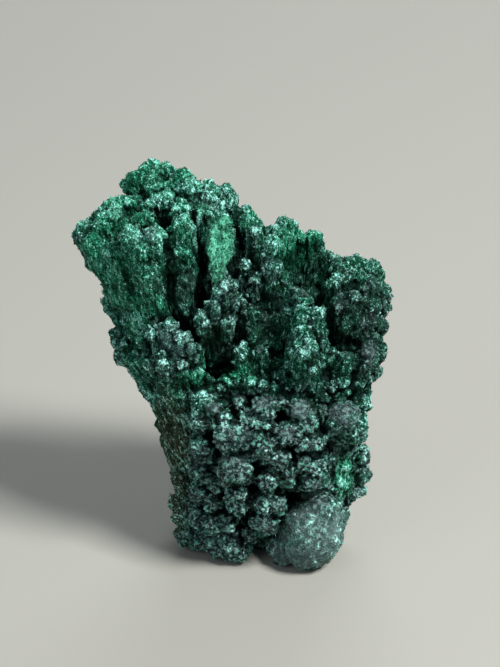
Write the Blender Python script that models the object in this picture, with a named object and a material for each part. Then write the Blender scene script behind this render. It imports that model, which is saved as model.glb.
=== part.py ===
"""Malachite specimen: fibrous bundles grown together into one fan that stands on a short, lumpy neck.

Each bundle is a tapered column that starts at the root of its spray and ends in a rounded, knobbly tip.
One flat leaf of fibres stands between the bundles of the front.
Tips are placed on a drawing plane that leans back, so the front of the fan is laid out as it is looked at.
All tables are in millimetres. The neck is cut flat at z = 0 and the specimen stands on the cut.
"""

import math
import random

import bmesh
import bpy
from mathutils import Matrix, Vector

# ---------------------------------------------------------------- driving dimensions
NAME = "malachite_cluster"
MM = 0.001
LEAN = math.radians(25.0)
KNOBS = 4
KNOB_SHARE = 0.50
KNOB_REACH = 0.72
VOXEL = 0.30
SMOOTHING = 2
TRIANGLES = 9300
MERGE = 0.00001
SEED = 11

COLOUR = (0.014, 0.105, 0.052, 1.0)
ROUGHNESS = 0.62

# ---------------------------------------------------------------- the solid heart that the bundles grow on
# start (x, y, z), start radius, end (x, y, z), end radius
HEART = [
    ((0.2, 2.2, -2.0), 3.6, (0.2, -0.3, 12.0), 4.8),
    ((-3.0, 1.2, -2.0), 3.4, (-3.4, 0.2, 12.0), 3.8),
    ((3.6, 0.8, -2.0), 3.3, (4.2, 0.0, 12.0), 4.0),
    ((0.4, -0.2, 11.0), 4.4, (0.4, 1.6, 18.0), 3.4),
    ((-3.2, 0.4, 11.0), 4.0, (-8.0, 1.6, 22.5), 3.7),
    ((-3.0, 1.2, 14.0), 4.0, (-5.6, 2.0, 24.5), 3.2),
    ((3.6, 0.4, 11.0), 4.2, (6.4, 2.0, 17.4), 3.6),
    ((0.6, 2.4, 14.0), 3.6, (0.4, 4.7, 20.4), 2.2),
]

# ---------------------------------------------------------------- sprays
# Each spray: root (x, y, z), column length, taper towards the root, and its tips.
# Each tip: across, up the leaning plane, depth behind it (+) or before it (-), radius.
SPRAYS = {
    "top lobe": ((-4.5, 2.0, 14.0), 7.0, 0.75, [
        (-10.05, 30.25, 5.0, 1.05),
        (-9.15, 31.00, 5.6, 1.00),
        (-7.85, 30.85, 5.2, 0.98),
        (-8.75, 30.00, 4.2, 0.95),
        (-9.65, 29.90, 6.6, 1.00),
        (-7.60, 29.60, 6.8, 1.10),
    ]),
    "top row": ((-3.6, 1.5, 13.0), 8.0, 0.7, [
        (-6.25, 30.20, 3.4, 0.95),
        (-5.15, 29.20, 3.8, 1.05),
        (-4.10, 29.10, 3.4, 1.10),
        (-2.75, 28.70, 3.2, 1.15),
        (-8.50, 29.10, 2.4, 0.80),
        (-7.60, 29.35, 2.6, 0.75),
    ]),
    "left rim": ((-4.8, 0.8, 8.0), 11.0, 0.7, [
        (-14.05, 25.75, 1.2, 1.15),
        (-13.30, 26.45, 1.9, 1.00),
        (-12.15, 27.65, 1.6, 1.05),
        (-11.05, 27.95, 2.2, 1.05),
        (-10.20, 28.05, 3.0, 0.95),
        (-13.40, 25.00, -0.8, 1.05),
        (-12.50, 26.20, -0.6, 1.05),
        (-11.45, 27.00, -0.2, 1.00),
    ]),
    "left flank": ((-4.6, 0.4, 7.0), 9.0, 0.75, [
        (-12.90, 23.90, 1.2, 1.10),
        (-12.20, 23.30, -1.6, 1.10),
        (-11.60, 24.00, -2.6, 1.10),
        (-11.95, 21.50, 1.2, 1.10),
        (-11.45, 21.10, -0.8, 1.10),
        (-10.80, 22.10, -2.4, 1.15),
        (-10.10, 20.60, -2.8, 1.00),
        (-9.10, 20.10, -3.2, 1.00),
        (-8.00, 20.00, -3.4, 0.95),
        (-7.00, 20.00, -3.2, 0.85),
        (-11.55, 20.00, 0.6, 1.10),
    ]),
    "second row": ((-3.6, 0.0, 10.0), 9.0, 0.7, [
        (-7.80, 28.20, -0.4, 1.05),
        (-8.85, 27.60, -0.8, 0.90),
        (-5.55, 29.10, 0.6, 1.00),
        (-3.75, 28.40, 0.2, 1.05),
        (-4.65, 27.30, -1.0, 0.95),
        (-6.35, 27.50, -1.4, 0.95),
        (-9.30, 26.70, -2.4, 0.85),
    ]),
    "front row": ((-5.0, 1.0, 10.0), 8.0, 0.8, [
        (-10.25, 25.20, -4.0, 1.10),
        (-8.20, 25.20, -4.6, 1.05),
        (-9.20, 24.30, -4.8, 1.00),
        (-8.90, 22.60, -5.2, 1.00),
        (-6.00, 26.10, -4.6, 1.05),
        (-6.05, 24.00, -4.9, 0.90),
        (-5.90, 22.40, -4.6, 0.85),
    ]),
    "behind leaf": ((-3.4, 0.4, 13.0), 6.0, 0.6, [
        (-3.20, 25.60, -3.4, 0.62),
        (-3.30, 24.20, -3.7, 0.66),
        (-3.75, 22.60, -3.9, 0.55),
    ]),
    "under leaf": ((-3.0, 1.5, 12.0), 6.5, 0.8, [
        (-2.60, 21.30, -4.6, 0.90),
        (-3.50, 19.90, -4.9, 0.85),
        (-4.40, 18.70, -5.1, 0.90),
        (-2.80, 18.60, -4.8, 0.75),
    ]),
    "centre back": ((-0.4, 2.0, 13.0), 8.0, 0.75, [
        (-1.05, 27.10, 3.0, 0.90),
        (0.00, 26.40, 3.4, 0.85),
        (-2.00, 26.80, 3.6, 0.85),
        (1.50, 25.90, 2.6, 0.80),
    ]),
    "centre": ((-0.2, 0.0, 10.0), 8.0, 0.7, [
        (-0.45, 25.80, -0.4, 0.62),
        (-1.15, 22.90, -1.8, 0.85),
        (-0.25, 22.00, -2.2, 0.75),
        (1.20, 24.80, -2.2, 0.72),
        (1.45, 23.00, -2.9, 0.66),
        (0.55, 24.20, -1.8, 0.70),
        (-1.70, 20.40, -2.6, 0.75),
        (-0.60, 19.20, -2.9, 0.80),
        (0.60, 18.60, -2.4, 0.75),
        (1.60, 18.80, -2.6, 0.75),
        (-1.30, 15.95, -4.4, 0.80),
        (0.15, 16.20, -4.2, 0.70),
        (-0.30, 17.60, -3.6, 0.65),
        (1.30, 17.10, -3.0, 0.70),
        (1.75, 15.40, -3.6, 0.70),
    ]),
    "valley lip": ((3.4, -0.6, 10.0), 6.0, 0.8, [
        (2.45, 21.10, -3.0, 0.62),
        (3.25, 20.60, -3.2, 0.62),
        (4.00, 20.10, -3.4, 0.62),
        (2.70, 19.20, -3.6, 0.75),
        (3.75, 19.00, -4.9, 0.85),
        (4.95, 19.20, -5.4, 0.75),
        (3.70, 17.90, -5.5, 0.85),
        (3.70, 16.50, -6.0, 1.00),
        (2.75, 16.40, -4.6, 0.70),
        (4.30, 14.80, -5.6, 0.80),
        (5.10, 17.00, -4.8, 0.65),
        (5.00, 15.60, -4.8, 0.70),
    ]),
    "valley back wall": ((2.0, 3.2, 12.0), 10.0, 1.0, [
        (2.40, 26.50, 6.8, 0.95),
        (3.30, 25.60, 6.9, 0.95),
        (4.00, 25.10, 6.9, 0.90),
        (4.70, 25.40, 6.6, 0.95),
        (5.50, 24.00, 6.0, 0.95),
        (6.60, 23.20, 5.0, 0.95),
        (1.30, 25.60, 6.2, 0.90),
    ]),
    "right mass": ((3.6, 0.6, 9.0), 9.5, 0.8, [
        (8.05, 23.05, 3.4, 1.20),
        (9.35, 22.55, 2.4, 1.10),
        (6.95, 22.70, 1.6, 1.00),
        (7.85, 22.00, 0.4, 1.05),
        (9.10, 21.40, -0.2, 1.10),
        (9.90, 20.70, 1.2, 1.30),
        (10.05, 20.20, 3.4, 1.20),
        (6.60, 21.50, -0.6, 0.95),
        (7.85, 20.20, -2.6, 0.95),
        (6.50, 20.00, -2.2, 0.85),
        (9.10, 19.60, -2.0, 1.10),
        (9.85, 18.30, -0.2, 1.00),
        (7.20, 18.60, -2.6, 0.85),
        (8.30, 18.40, -2.6, 0.90),
        (9.75, 16.20, -1.2, 0.98),
        (9.20, 17.10, -2.6, 0.80),
        (8.90, 15.60, -3.8, 0.95),
        (9.30, 14.50, -1.8, 0.95),
        (7.20, 15.40, -4.4, 0.80),
        (6.20, 15.60, -4.0, 0.70),
        (6.60, 14.00, -4.2, 0.80),
        (8.10, 13.80, -3.4, 0.85),
    ]),
    "left middle": ((-4.4, 0.0, 7.0), 7.0, 0.8, [
        (-11.10, 17.30, 1.0, 1.15),
        (-10.25, 18.40, -1.6, 0.80),
        (-10.70, 16.30, -0.8, 1.05),
        (-9.80, 15.40, -1.8, 1.10),
        (-9.20, 17.20, -3.4, 0.85),
        (-8.40, 17.70, -4.4, 0.80),
        (-7.15, 17.80, -5.4, 0.90),
        (-6.15, 16.90, -5.8, 0.95),
        (-5.20, 16.10, -5.2, 0.80),
        (-7.60, 15.60, -5.4, 0.95),
        (-6.40, 15.10, -5.6, 0.90),
        (-8.70, 15.20, -4.2, 0.90),
        (-7.70, 14.00, -4.4, 0.85),
        (-5.00, 14.50, -4.6, 0.70),
    ]),
    "ledge": ((0.3, 0.8, 9.0), 5.5, 0.8, [
        (-4.60, 11.90, -5.4, 1.05),
        (-3.60, 11.40, -5.9, 0.70),
        (-4.90, 10.30, -5.5, 0.85),
        (-3.60, 10.30, -6.0, 0.60),
        (-2.70, 10.50, -6.5, 0.60),
        (-1.60, 12.00, -5.0, 0.65),
        (-1.10, 10.60, -6.2, 0.60),
        (-0.30, 9.90, -6.6, 0.60),
        (0.30, 11.70, -5.6, 0.75),
        (1.15, 11.70, -5.7, 0.75),
        (2.00, 11.90, -5.5, 0.60),
        (0.90, 10.80, -6.2, 0.65),
        (0.40, 10.10, -6.4, 0.70),
        (3.45, 11.30, -5.9, 1.00),
        (2.20, 9.40, -7.0, 0.90),
        (3.50, 10.00, -6.5, 0.70),
        (4.30, 10.20, -6.2, 0.70),
        (3.60, 8.60, -6.9, 0.65),
        (4.50, 8.70, -6.6, 0.60),
        (5.20, 8.80, -6.2, 0.65),
        (5.20, 11.00, -5.2, 0.75),
        (7.00, 10.80, -5.3, 1.40),
        (7.60, 10.00, -4.8, 1.35),
        (8.20, 11.60, -3.0, 1.05),
        (6.85, 12.90, -4.0, 0.80),
        (8.05, 9.40, -2.8, 1.10),
        (8.50, 12.20, -0.8, 1.00),
        (8.20, 10.20, 0.4, 1.10),
    ]),
    "above ledge": ((0.3, 1.2, 9.0), 4.5, 0.8, [
        (-4.10, 13.60, -4.2, 0.70),
        (-3.40, 12.90, -4.8, 0.60),
        (-2.60, 13.70, -4.3, 0.62),
        (-1.60, 14.10, -4.4, 0.65),
        (-0.60, 13.50, -4.6, 0.60),
        (0.40, 13.20, -4.6, 0.60),
        (1.15, 12.95, -4.9, 0.55),
        (1.70, 14.20, -4.1, 0.55),
        (2.30, 13.10, -4.7, 0.55),
        (3.10, 13.60, -4.7, 0.60),
        (4.60, 13.50, -4.8, 0.55),
        (5.15, 12.70, -4.9, 0.52),
        (5.90, 13.20, -4.4, 0.55),
    ]),
    "neck front": ((0.2, 0.8, 6.0), 5.5, 0.85, [
        (-2.70, 9.10, -7.2, 1.05),
        (-1.75, 9.05, -7.4, 1.10),
        (-4.70, 8.10, -5.6, 1.10),
        (-1.90, 6.60, -7.3, 1.50),
        (0.45, 8.20, -7.5, 0.90),
        (1.60, 7.40, -7.5, 0.95),
        (0.80, 5.50, -7.2, 0.95),
        (2.35, 5.90, -6.8, 0.85),
        (4.60, 6.40, -6.0, 1.05),
        (4.60, 5.50, -5.8, 1.00),
        (3.60, 7.10, -6.2, 0.85),
        (5.60, 7.20, -4.8, 0.90),
        (-1.80, 4.25, -6.7, 0.95),
        (-1.70, 3.30, -6.5, 0.95),
        (0.40, 3.60, -6.7, 0.90),
        (1.50, 3.60, -6.5, 0.95),
        (0.50, 2.00, -6.0, 1.15),
        (-3.60, 5.40, -5.4, 0.95),
        (-4.80, 6.20, -5.0, 0.90),
        (-4.90, 4.20, -4.4, 0.95),
        (-3.60, 3.60, -5.0, 0.80),
        (-3.60, 1.70, -5.1, 0.95),
        (-2.60, 1.60, -5.5, 0.85),
        (-4.90, 2.20, -4.0, 0.90),
        (-0.60, 0.80, -4.6, 0.75),
        (-2.30, -0.45, -4.4, 1.15),
        (-1.50, -0.60, -4.4, 1.00),
        (-3.60, -0.25, -3.6, 1.10),
        (-4.80, 0.15, -2.8, 1.10),
        (-5.95, 0.60, -2.0, 1.20),
        (-6.25, 2.20, -2.0, 1.15),
    ]),
    "boss": ((3.2, 0.6, 3.0), 4.0, 1.0, [
        (4.30, 0.45, -4.6, 2.75),
        (2.60, -0.25, -4.0, 1.85),
        (5.30, 2.40, -3.9, 1.85),
        (5.70, 0.50, -3.2, 1.75),
        (3.40, 1.90, -4.4, 1.90),
    ]),
    "right foot": ((4.2, 1.0, 1.0), 6.0, 0.9, [
        (8.45, 7.30, 0.8, 1.00),
        (8.60, 5.80, 0.9, 1.00),
        (8.10, 4.30, 0.8, 1.00),
        (7.10, 6.60, -1.6, 0.90),
        (6.70, 5.00, -1.8, 0.85),
        (7.50, 8.40, -1.2, 0.90),
        (6.80, 2.20, 0.2, 1.10),
        (6.60, 0.80, 1.6, 1.10),
    ]),
    "left foot": ((-3.0, 0.4, 1.0), 8.0, 0.9, [
        (-6.55, 3.40, -0.4, 0.95),
        (-6.50, 5.40, -1.6, 0.95),
        (-6.80, 7.30, -0.4, 1.00),
        (-7.30, 8.60, 0.4, 1.10),
        (-6.60, 6.00, 1.6, 1.00),
        (-8.00, 12.30, 1.4, 0.95),
        (-9.20, 14.40, 1.2, 0.95),
        (-6.20, 8.90, -2.6, 0.95),
        (-7.45, 10.00, -1.0, 1.00),
        (-7.80, 11.40, -1.0, 1.00),
        (-8.60, 13.20, -0.8, 1.05),
        (-6.20, 12.20, -3.6, 0.90),
        (-7.20, 12.80, -3.0, 0.85),
    ]),
}

# ---------------------------------------------------------------- the one flat leaf of fibres
LEAF_DEPTH = -4.5
LEAF_THICKNESS = 1.30
LEAF_TURN = math.radians(15.0)
# across, up, half width, half height of the flat rounds that make its outline
LEAF = [
    (-3.00, 25.10, 1.35, 1.75),
    (-2.85, 26.15, 1.00, 1.00),
    (-3.25, 23.90, 1.15, 1.80),
    (-3.50, 22.80, 0.85, 1.50),
]

# ---------------------------------------------------------------- the back, laid out by rule
BACK_TIPS = 92
BACK_RADIUS = (0.85, 1.55)
# height z, middle of the arc (x, y), half width, reach to the back, rise of the columns
BACK_PROFILE = [
    (0.6, 0.2, 1.0, 6.2, 4.2, 0.0),
    (4.0, 0.2, 0.8, 6.6, 5.0, 0.2),
    (9.0, 0.4, 0.5, 7.2, 5.7, 0.5),
    (14.0, 0.0, 0.8, 8.3, 5.8, 1.0),
    (18.0, -0.8, 1.5, 9.7, 6.1, 1.5),
    (22.5, -2.2, 2.0, 10.8, 6.2, 2.0),
]
# x, y, z, radius of the tips that close the fan behind its rim
BACK_RIM = [
    (-13.2, 3.4, 25.2, 1.10),
    (-12.2, 4.4, 26.6, 1.15),
    (-11.2, 5.8, 25.0, 1.15),
    (-12.3, 3.0, 24.2, 1.20),
    (-11.7, 4.4, 23.2, 1.20),
    (-10.5, 6.0, 28.2, 1.10),
    (-9.4, 7.4, 27.2, 1.20),
    (-9.0, 7.2, 30.2, 1.10),
    (-7.4, 8.0, 28.8, 1.15),
    (-7.0, 8.2, 25.6, 1.20),
    (-6.2, 6.4, 30.0, 1.05),
    (-5.0, 7.4, 28.2, 1.10),
    (-4.8, 8.2, 25.4, 1.15),
    (-3.6, 6.0, 28.8, 1.05),
    (-2.6, 7.4, 26.6, 1.10),
    (-1.4, 6.2, 27.0, 1.00),
    (-0.4, 7.8, 24.6, 1.10),
    (0.4, 7.0, 24.8, 1.00),
    (2.4, 8.4, 23.8, 1.10),
    (4.6, 8.2, 23.4, 1.10),
    (6.6, 7.0, 22.4, 1.10),
    (8.4, 5.6, 21.8, 1.15),
    (9.6, 4.8, 19.6, 1.15),
]


def on_plane(across, up, depth):
    """A point of the leaning drawing plane, moved along the level line of sight to the asked depth."""
    height = up / math.cos(LEAN) - depth * math.tan(LEAN)
    return Vector((across, depth, height))


def add_ball(mesh, centre, radius, squash=1.0, along=Vector((0.0, 0.0, 1.0)), detail=2):
    """A ball, flattened or stretched along one direction."""
    turn = along.to_track_quat("Z", "Y").to_matrix().to_4x4()
    shape = Matrix.Diagonal((radius, radius, radius * squash, 1.0))
    place = Matrix.Translation(centre) @ turn @ shape
    bmesh.ops.create_icosphere(mesh, subdivisions=detail, radius=1.0, matrix=place)


def add_column(mesh, start, start_radius, end, end_radius, sides=10):
    """A straight, tapered, closed column between two points."""
    line = end - start
    turn = line.to_track_quat("Z", "Y").to_matrix().to_4x4()
    place = Matrix.Translation((start + end) * 0.5) @ turn
    bmesh.ops.create_cone(
        mesh,
        cap_ends=True,
        segments=sides,
        radius1=start_radius,
        radius2=end_radius,
        depth=line.length,
        matrix=place,
    )


def golden_directions(count, axis, spread, spin):
    """Directions spread evenly over a cap around an axis."""
    turn = axis.to_track_quat("Z", "Y")
    golden = math.pi * (3.0 - math.sqrt(5.0))
    for index in range(count):
        height = 1.0 - (1.0 - math.cos(spread)) * (index + 0.5) / count
        ring = math.sqrt(max(0.0, 1.0 - height * height))
        angle = spin + golden * index
        yield turn @ Vector((ring * math.cos(angle), ring * math.sin(angle), height))


def add_bundle(mesh, tip, radius, root, length, taper, dice):
    """A bundle of fibres: a tapered column that widens to a rounded tip set with small knobs."""
    line = tip - root
    axis = line.normalized()
    reach = min(length, line.length)
    foot = tip - axis * reach
    add_column(mesh, foot, radius * taper, tip, radius * 0.96)
    add_ball(mesh, tip, radius, 0.9, axis)
    if radius < 0.9 or radius > 1.5:
        return
    spin = dice.uniform(0.0, 6.28)
    for aim in golden_directions(KNOBS, axis, math.radians(100.0), spin):
        size = radius * KNOB_SHARE * dice.uniform(0.85, 1.15)
        add_ball(mesh, tip + aim * radius * KNOB_REACH, size, 1.0, aim, 1)


def add_heart(mesh):
    """The solid middle that fills the space between the bundles."""
    for start, start_radius, end, end_radius in HEART:
        first = Vector(start)
        last = Vector(end)
        add_column(mesh, first, start_radius, last, end_radius, 20)
        add_ball(mesh, first, start_radius)
        add_ball(mesh, last, end_radius)


def add_sprays(mesh, dice):
    """The bundles of the front and the sides."""
    for root, length, taper, tips in SPRAYS.values():
        for across, up, depth, radius in tips:
            add_bundle(mesh, on_plane(across, up, depth), radius, Vector(root), length, taper, dice)


def add_leaf(mesh):
    """The flat leaf: thin rounds in one upright plane that faces the front and turns a little to the right."""
    upward = Vector((0.0, 0.0, 1.0))
    facing = Vector((math.sin(LEAF_TURN), -math.cos(LEAF_TURN), 0.0))
    sideways = upward.cross(facing)
    for across, up, half_width, half_height in LEAF:
        tall = half_height / math.cos(LEAN)
        columns = (sideways * half_width, upward * tall, facing * LEAF_THICKNESS * 0.5)
        shape = Matrix(columns).transposed().to_4x4()
        place = Matrix.Translation(on_plane(across, up, LEAF_DEPTH)) @ shape
        bmesh.ops.create_icosphere(mesh, subdivisions=3, radius=1.0, matrix=place)


def profile_at(height):
    """The arc of the back at one height, blended between the rows of the profile."""
    for low, high in zip(BACK_PROFILE, BACK_PROFILE[1:]):
        if height <= high[0]:
            share = (height - low[0]) / (high[0] - low[0])
            return [a + (b - a) * share for a, b in zip(low, high)]
    return list(BACK_PROFILE[-1])


def add_back(mesh, dice):
    """Bundles scattered evenly around the back, and the tips that close the fan behind its rim."""
    first = BACK_PROFILE[0][0]
    last = BACK_PROFILE[-1][0]
    for index in range(BACK_TIPS):
        height = first + (last - first) * (index + 0.5) / BACK_TIPS
        turn = (index * 0.618034) % 1.0
        angle = math.pi * turn + dice.uniform(-0.05, 0.05)
        level, middle_x, middle_y, half_width, reach, rise = profile_at(height)
        x = middle_x + half_width * math.cos(angle)
        y = middle_y + reach * math.sin(angle) * dice.uniform(0.90, 1.08)
        size = dice.uniform(*BACK_RADIUS)
        root = Vector((middle_x * 0.5, 0.6, level - 1.0 - 3.5 * rise))
        add_bundle(mesh, Vector((x, y, level)), size, root, 4.0 + 2.0 * rise, 0.85, dice)
    for x, y, z, radius in BACK_RIM:
        root = Vector((x * 0.35, 1.6, 10.0))
        add_bundle(mesh, Vector((x, y, z)), radius * dice.uniform(0.9, 1.1), root, 10.0, 0.8, dice)


def raw_cluster():
    """All the columns and balls as one loose mesh, in metres."""
    dice = random.Random(SEED)
    mesh = bmesh.new()
    add_heart(mesh)
    add_sprays(mesh, dice)
    add_leaf(mesh)
    add_back(mesh, dice)
    bmesh.ops.scale(mesh, vec=(MM, MM, MM), verts=mesh.verts)
    data = bpy.data.meshes.new(NAME)
    mesh.to_mesh(data)
    mesh.free()
    cluster = bpy.data.objects.new(NAME, data)
    bpy.context.scene.collection.objects.link(cluster)
    return cluster


def applied(item):
    """The mesh of an object with its modifiers worked out."""
    graph = bpy.context.evaluated_depsgraph_get()
    graph.update()
    data = bpy.data.meshes.new_from_object(item.evaluated_get(graph))
    item.modifiers.clear()
    old = item.data
    item.data = data
    bpy.data.meshes.remove(old)
    data.name = NAME
    return data


def grow_together(cluster):
    """One skin around all the bundles, softened and thinned to the wanted number of triangles."""
    skin = cluster.modifiers.new("skin", "REMESH")
    skin.mode = "VOXEL"
    skin.voxel_size = VOXEL * MM
    skin.adaptivity = 0.0
    soft = cluster.modifiers.new("soft", "SMOOTH")
    soft.factor = 0.5
    soft.iterations = SMOOTHING
    data = applied(cluster)
    thin = cluster.modifiers.new("thin", "DECIMATE")
    thin.ratio = TRIANGLES / (2.0 * len(data.polygons))
    thin.use_collapse_triangulate = True
    applied(cluster)


def cut_flat(cluster):
    """Takes away what lies below z = 0, leaving a flat face to stand on."""
    block = bpy.data.meshes.new("base_cutter")
    mesh = bmesh.new()
    place = Matrix.Translation((0.0, 0.0, -0.02))
    bmesh.ops.create_cube(mesh, size=0.04, matrix=place)
    mesh.to_mesh(block)
    mesh.free()
    cutter = bpy.data.objects.new("base_cutter", block)
    bpy.context.scene.collection.objects.link(cutter)
    cutter.hide_render = True
    cutter.display_type = "WIRE"
    cut = cluster.modifiers.new("base_cut", "BOOLEAN")
    cut.operation = "DIFFERENCE"
    cut.solver = "EXACT"
    cut.object = cutter
    applied(cluster)
    bpy.data.objects.remove(cutter)


def keep_one_body(cluster):
    """Drops any crumb that the flat cut has parted from the specimen."""
    mesh = bmesh.new()
    mesh.from_mesh(cluster.data)
    bmesh.ops.remove_doubles(mesh, verts=mesh.verts, dist=MERGE)
    bmesh.ops.dissolve_degenerate(mesh, edges=mesh.edges, dist=MERGE)
    unseen = set(mesh.verts)
    groups = []
    while unseen:
        group = {unseen.pop()}
        edge = list(group)
        while edge:
            corner = edge.pop()
            for link in corner.link_edges:
                other = link.other_vert(corner)
                if other in unseen:
                    unseen.remove(other)
                    group.add(other)
                    edge.append(other)
        groups.append(group)
    groups.sort(key=len)
    for group in groups[:-1]:
        bmesh.ops.delete(mesh, geom=list(group), context="VERTS")
    bmesh.ops.triangulate(mesh, faces=mesh.faces)
    bmesh.ops.recalc_face_normals(mesh, faces=mesh.faces)
    mesh.to_mesh(cluster.data)
    mesh.free()


def malachite():
    """The plain dark green of the stone."""
    finish = bpy.data.materials.new("malachite")
    finish.use_nodes = True
    surface = finish.node_tree.nodes["Principled BSDF"]
    surface.inputs["Base Color"].default_value = COLOUR
    surface.inputs["Roughness"].default_value = ROUGHNESS
    return finish


for item in list(bpy.data.objects):
    bpy.data.objects.remove(item)

specimen = raw_cluster()
grow_together(specimen)
cut_flat(specimen)
keep_one_body(specimen)
specimen.data.materials.clear()
specimen.data.materials.append(malachite())
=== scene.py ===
import math
from functools import partial

import bmesh
import bpy
import numpy as np
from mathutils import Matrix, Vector, noise
from mathutils.bvhtree import BVHTree


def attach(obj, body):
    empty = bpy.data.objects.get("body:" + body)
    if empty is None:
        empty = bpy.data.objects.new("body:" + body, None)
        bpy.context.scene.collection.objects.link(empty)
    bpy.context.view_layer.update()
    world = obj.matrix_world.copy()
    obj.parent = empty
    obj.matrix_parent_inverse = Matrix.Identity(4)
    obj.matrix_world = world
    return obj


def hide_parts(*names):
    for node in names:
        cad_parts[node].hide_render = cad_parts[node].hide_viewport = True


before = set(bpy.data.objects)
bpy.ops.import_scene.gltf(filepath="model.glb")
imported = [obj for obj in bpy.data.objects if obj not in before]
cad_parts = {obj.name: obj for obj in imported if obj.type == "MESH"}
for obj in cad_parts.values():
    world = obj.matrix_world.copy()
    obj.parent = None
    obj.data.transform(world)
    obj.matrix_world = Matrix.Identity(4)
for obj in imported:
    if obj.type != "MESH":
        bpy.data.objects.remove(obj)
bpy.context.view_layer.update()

NODE = "malachite_cluster"
MM = 0.001
SEED = 7

# ---- how the specimen grew
LEAN = math.radians(25.0)
# middle of a region (x, y, z), reach, root its fibres radiate from (x, y, z); millimetres
GROWTH = [
    ((-9.0, 5.5, 31.4), 4.0, (-4.5, 2.0, 14.0)),
    ((-5.2, 3.2, 31.0), 4.0, (-3.6, 1.5, 13.0)),
    ((-12.8, 0.8, 29.0), 4.0, (-4.8, 0.8, 8.0)),
    ((-11.4, -1.5, 25.0), 5.0, (-4.6, 0.4, 7.0)),
    ((-6.3, -0.8, 31.0), 3.5, (-3.6, 0.0, 10.0)),
    ((-8.2, -4.7, 29.0), 4.0, (-5.0, 1.0, 10.0)),
    ((-3.0, -4.2, 29.5), 2.5, (-3.4, -0.4, 13.0)),
    ((-3.3, -4.8, 24.0), 3.0, (-3.0, -1.0, 10.0)),
    ((-0.5, 3.2, 28.3), 3.0, (-0.4, 2.0, 13.0)),
    ((0.0, -2.4, 24.5), 4.5, (-0.2, 0.0, 10.0)),
    ((3.6, -4.8, 22.0), 3.5, (3.4, -0.6, 10.0)),
    ((4.0, 6.5, 25.0), 4.0, (2.0, 3.2, 12.0)),
    ((8.5, 0.0, 23.0), 5.0, (3.6, 0.6, 9.0)),
    ((-8.0, -4.0, 19.0), 4.5, (-4.4, 0.0, 7.0)),
    ((-9.0, -2.6, 23.4), 1.7, (-4.0, -1.0, 20.6)),
    ((2.0, -6.0, 15.0), 4.0, (0.3, 0.8, 9.0)),
    ((-3.0, -6.0, 14.5), 4.0, (0.3, 0.8, 9.0)),
    ((7.6, -4.5, 14.0), 3.0, (3.0, 0.8, 9.0)),
    ((-1.0, -6.5, 8.0), 5.0, (0.2, 0.8, 6.0)),
    ((4.3, -4.6, 2.8), 3.4, (4.2, -3.0, 2.0)),
    ((8.3, 0.3, 7.0), 3.0, (4.2, 1.0, 1.0)),
    ((-7.2, -0.6, 9.0), 5.0, (-3.0, 0.4, 0.0)),
    ((0.0, 6.0, 7.0), 7.0, (0.0, 0.6, 4.0)),
    ((-2.5, 7.5, 24.0), 8.0, (-1.0, 1.6, 10.0)),
]

# the solid heart: start (x, y, z), start radius, end (x, y, z), end radius
HEART = [
    ((0.2, 2.2, -2.0), 3.6, (0.2, -0.3, 12.0), 4.8),
    ((-3.0, 1.2, -2.0), 3.4, (-3.4, 0.2, 12.0), 3.8),
    ((3.6, 0.8, -2.0), 3.3, (4.2, 0.0, 12.0), 4.0),
    ((0.4, -0.2, 11.0), 4.4, (0.4, 1.6, 18.0), 3.4),
    ((-3.2, 0.4, 11.0), 4.0, (-8.0, 1.6, 22.5), 3.7),
    ((-3.0, 1.2, 14.0), 4.0, (-5.6, 2.0, 24.5), 3.2),
    ((3.6, 0.4, 11.0), 4.2, (6.4, 2.0, 17.4), 3.6),
    ((0.6, 2.4, 14.0), 3.6, (0.4, 4.7, 20.4), 2.2),
]

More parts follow.
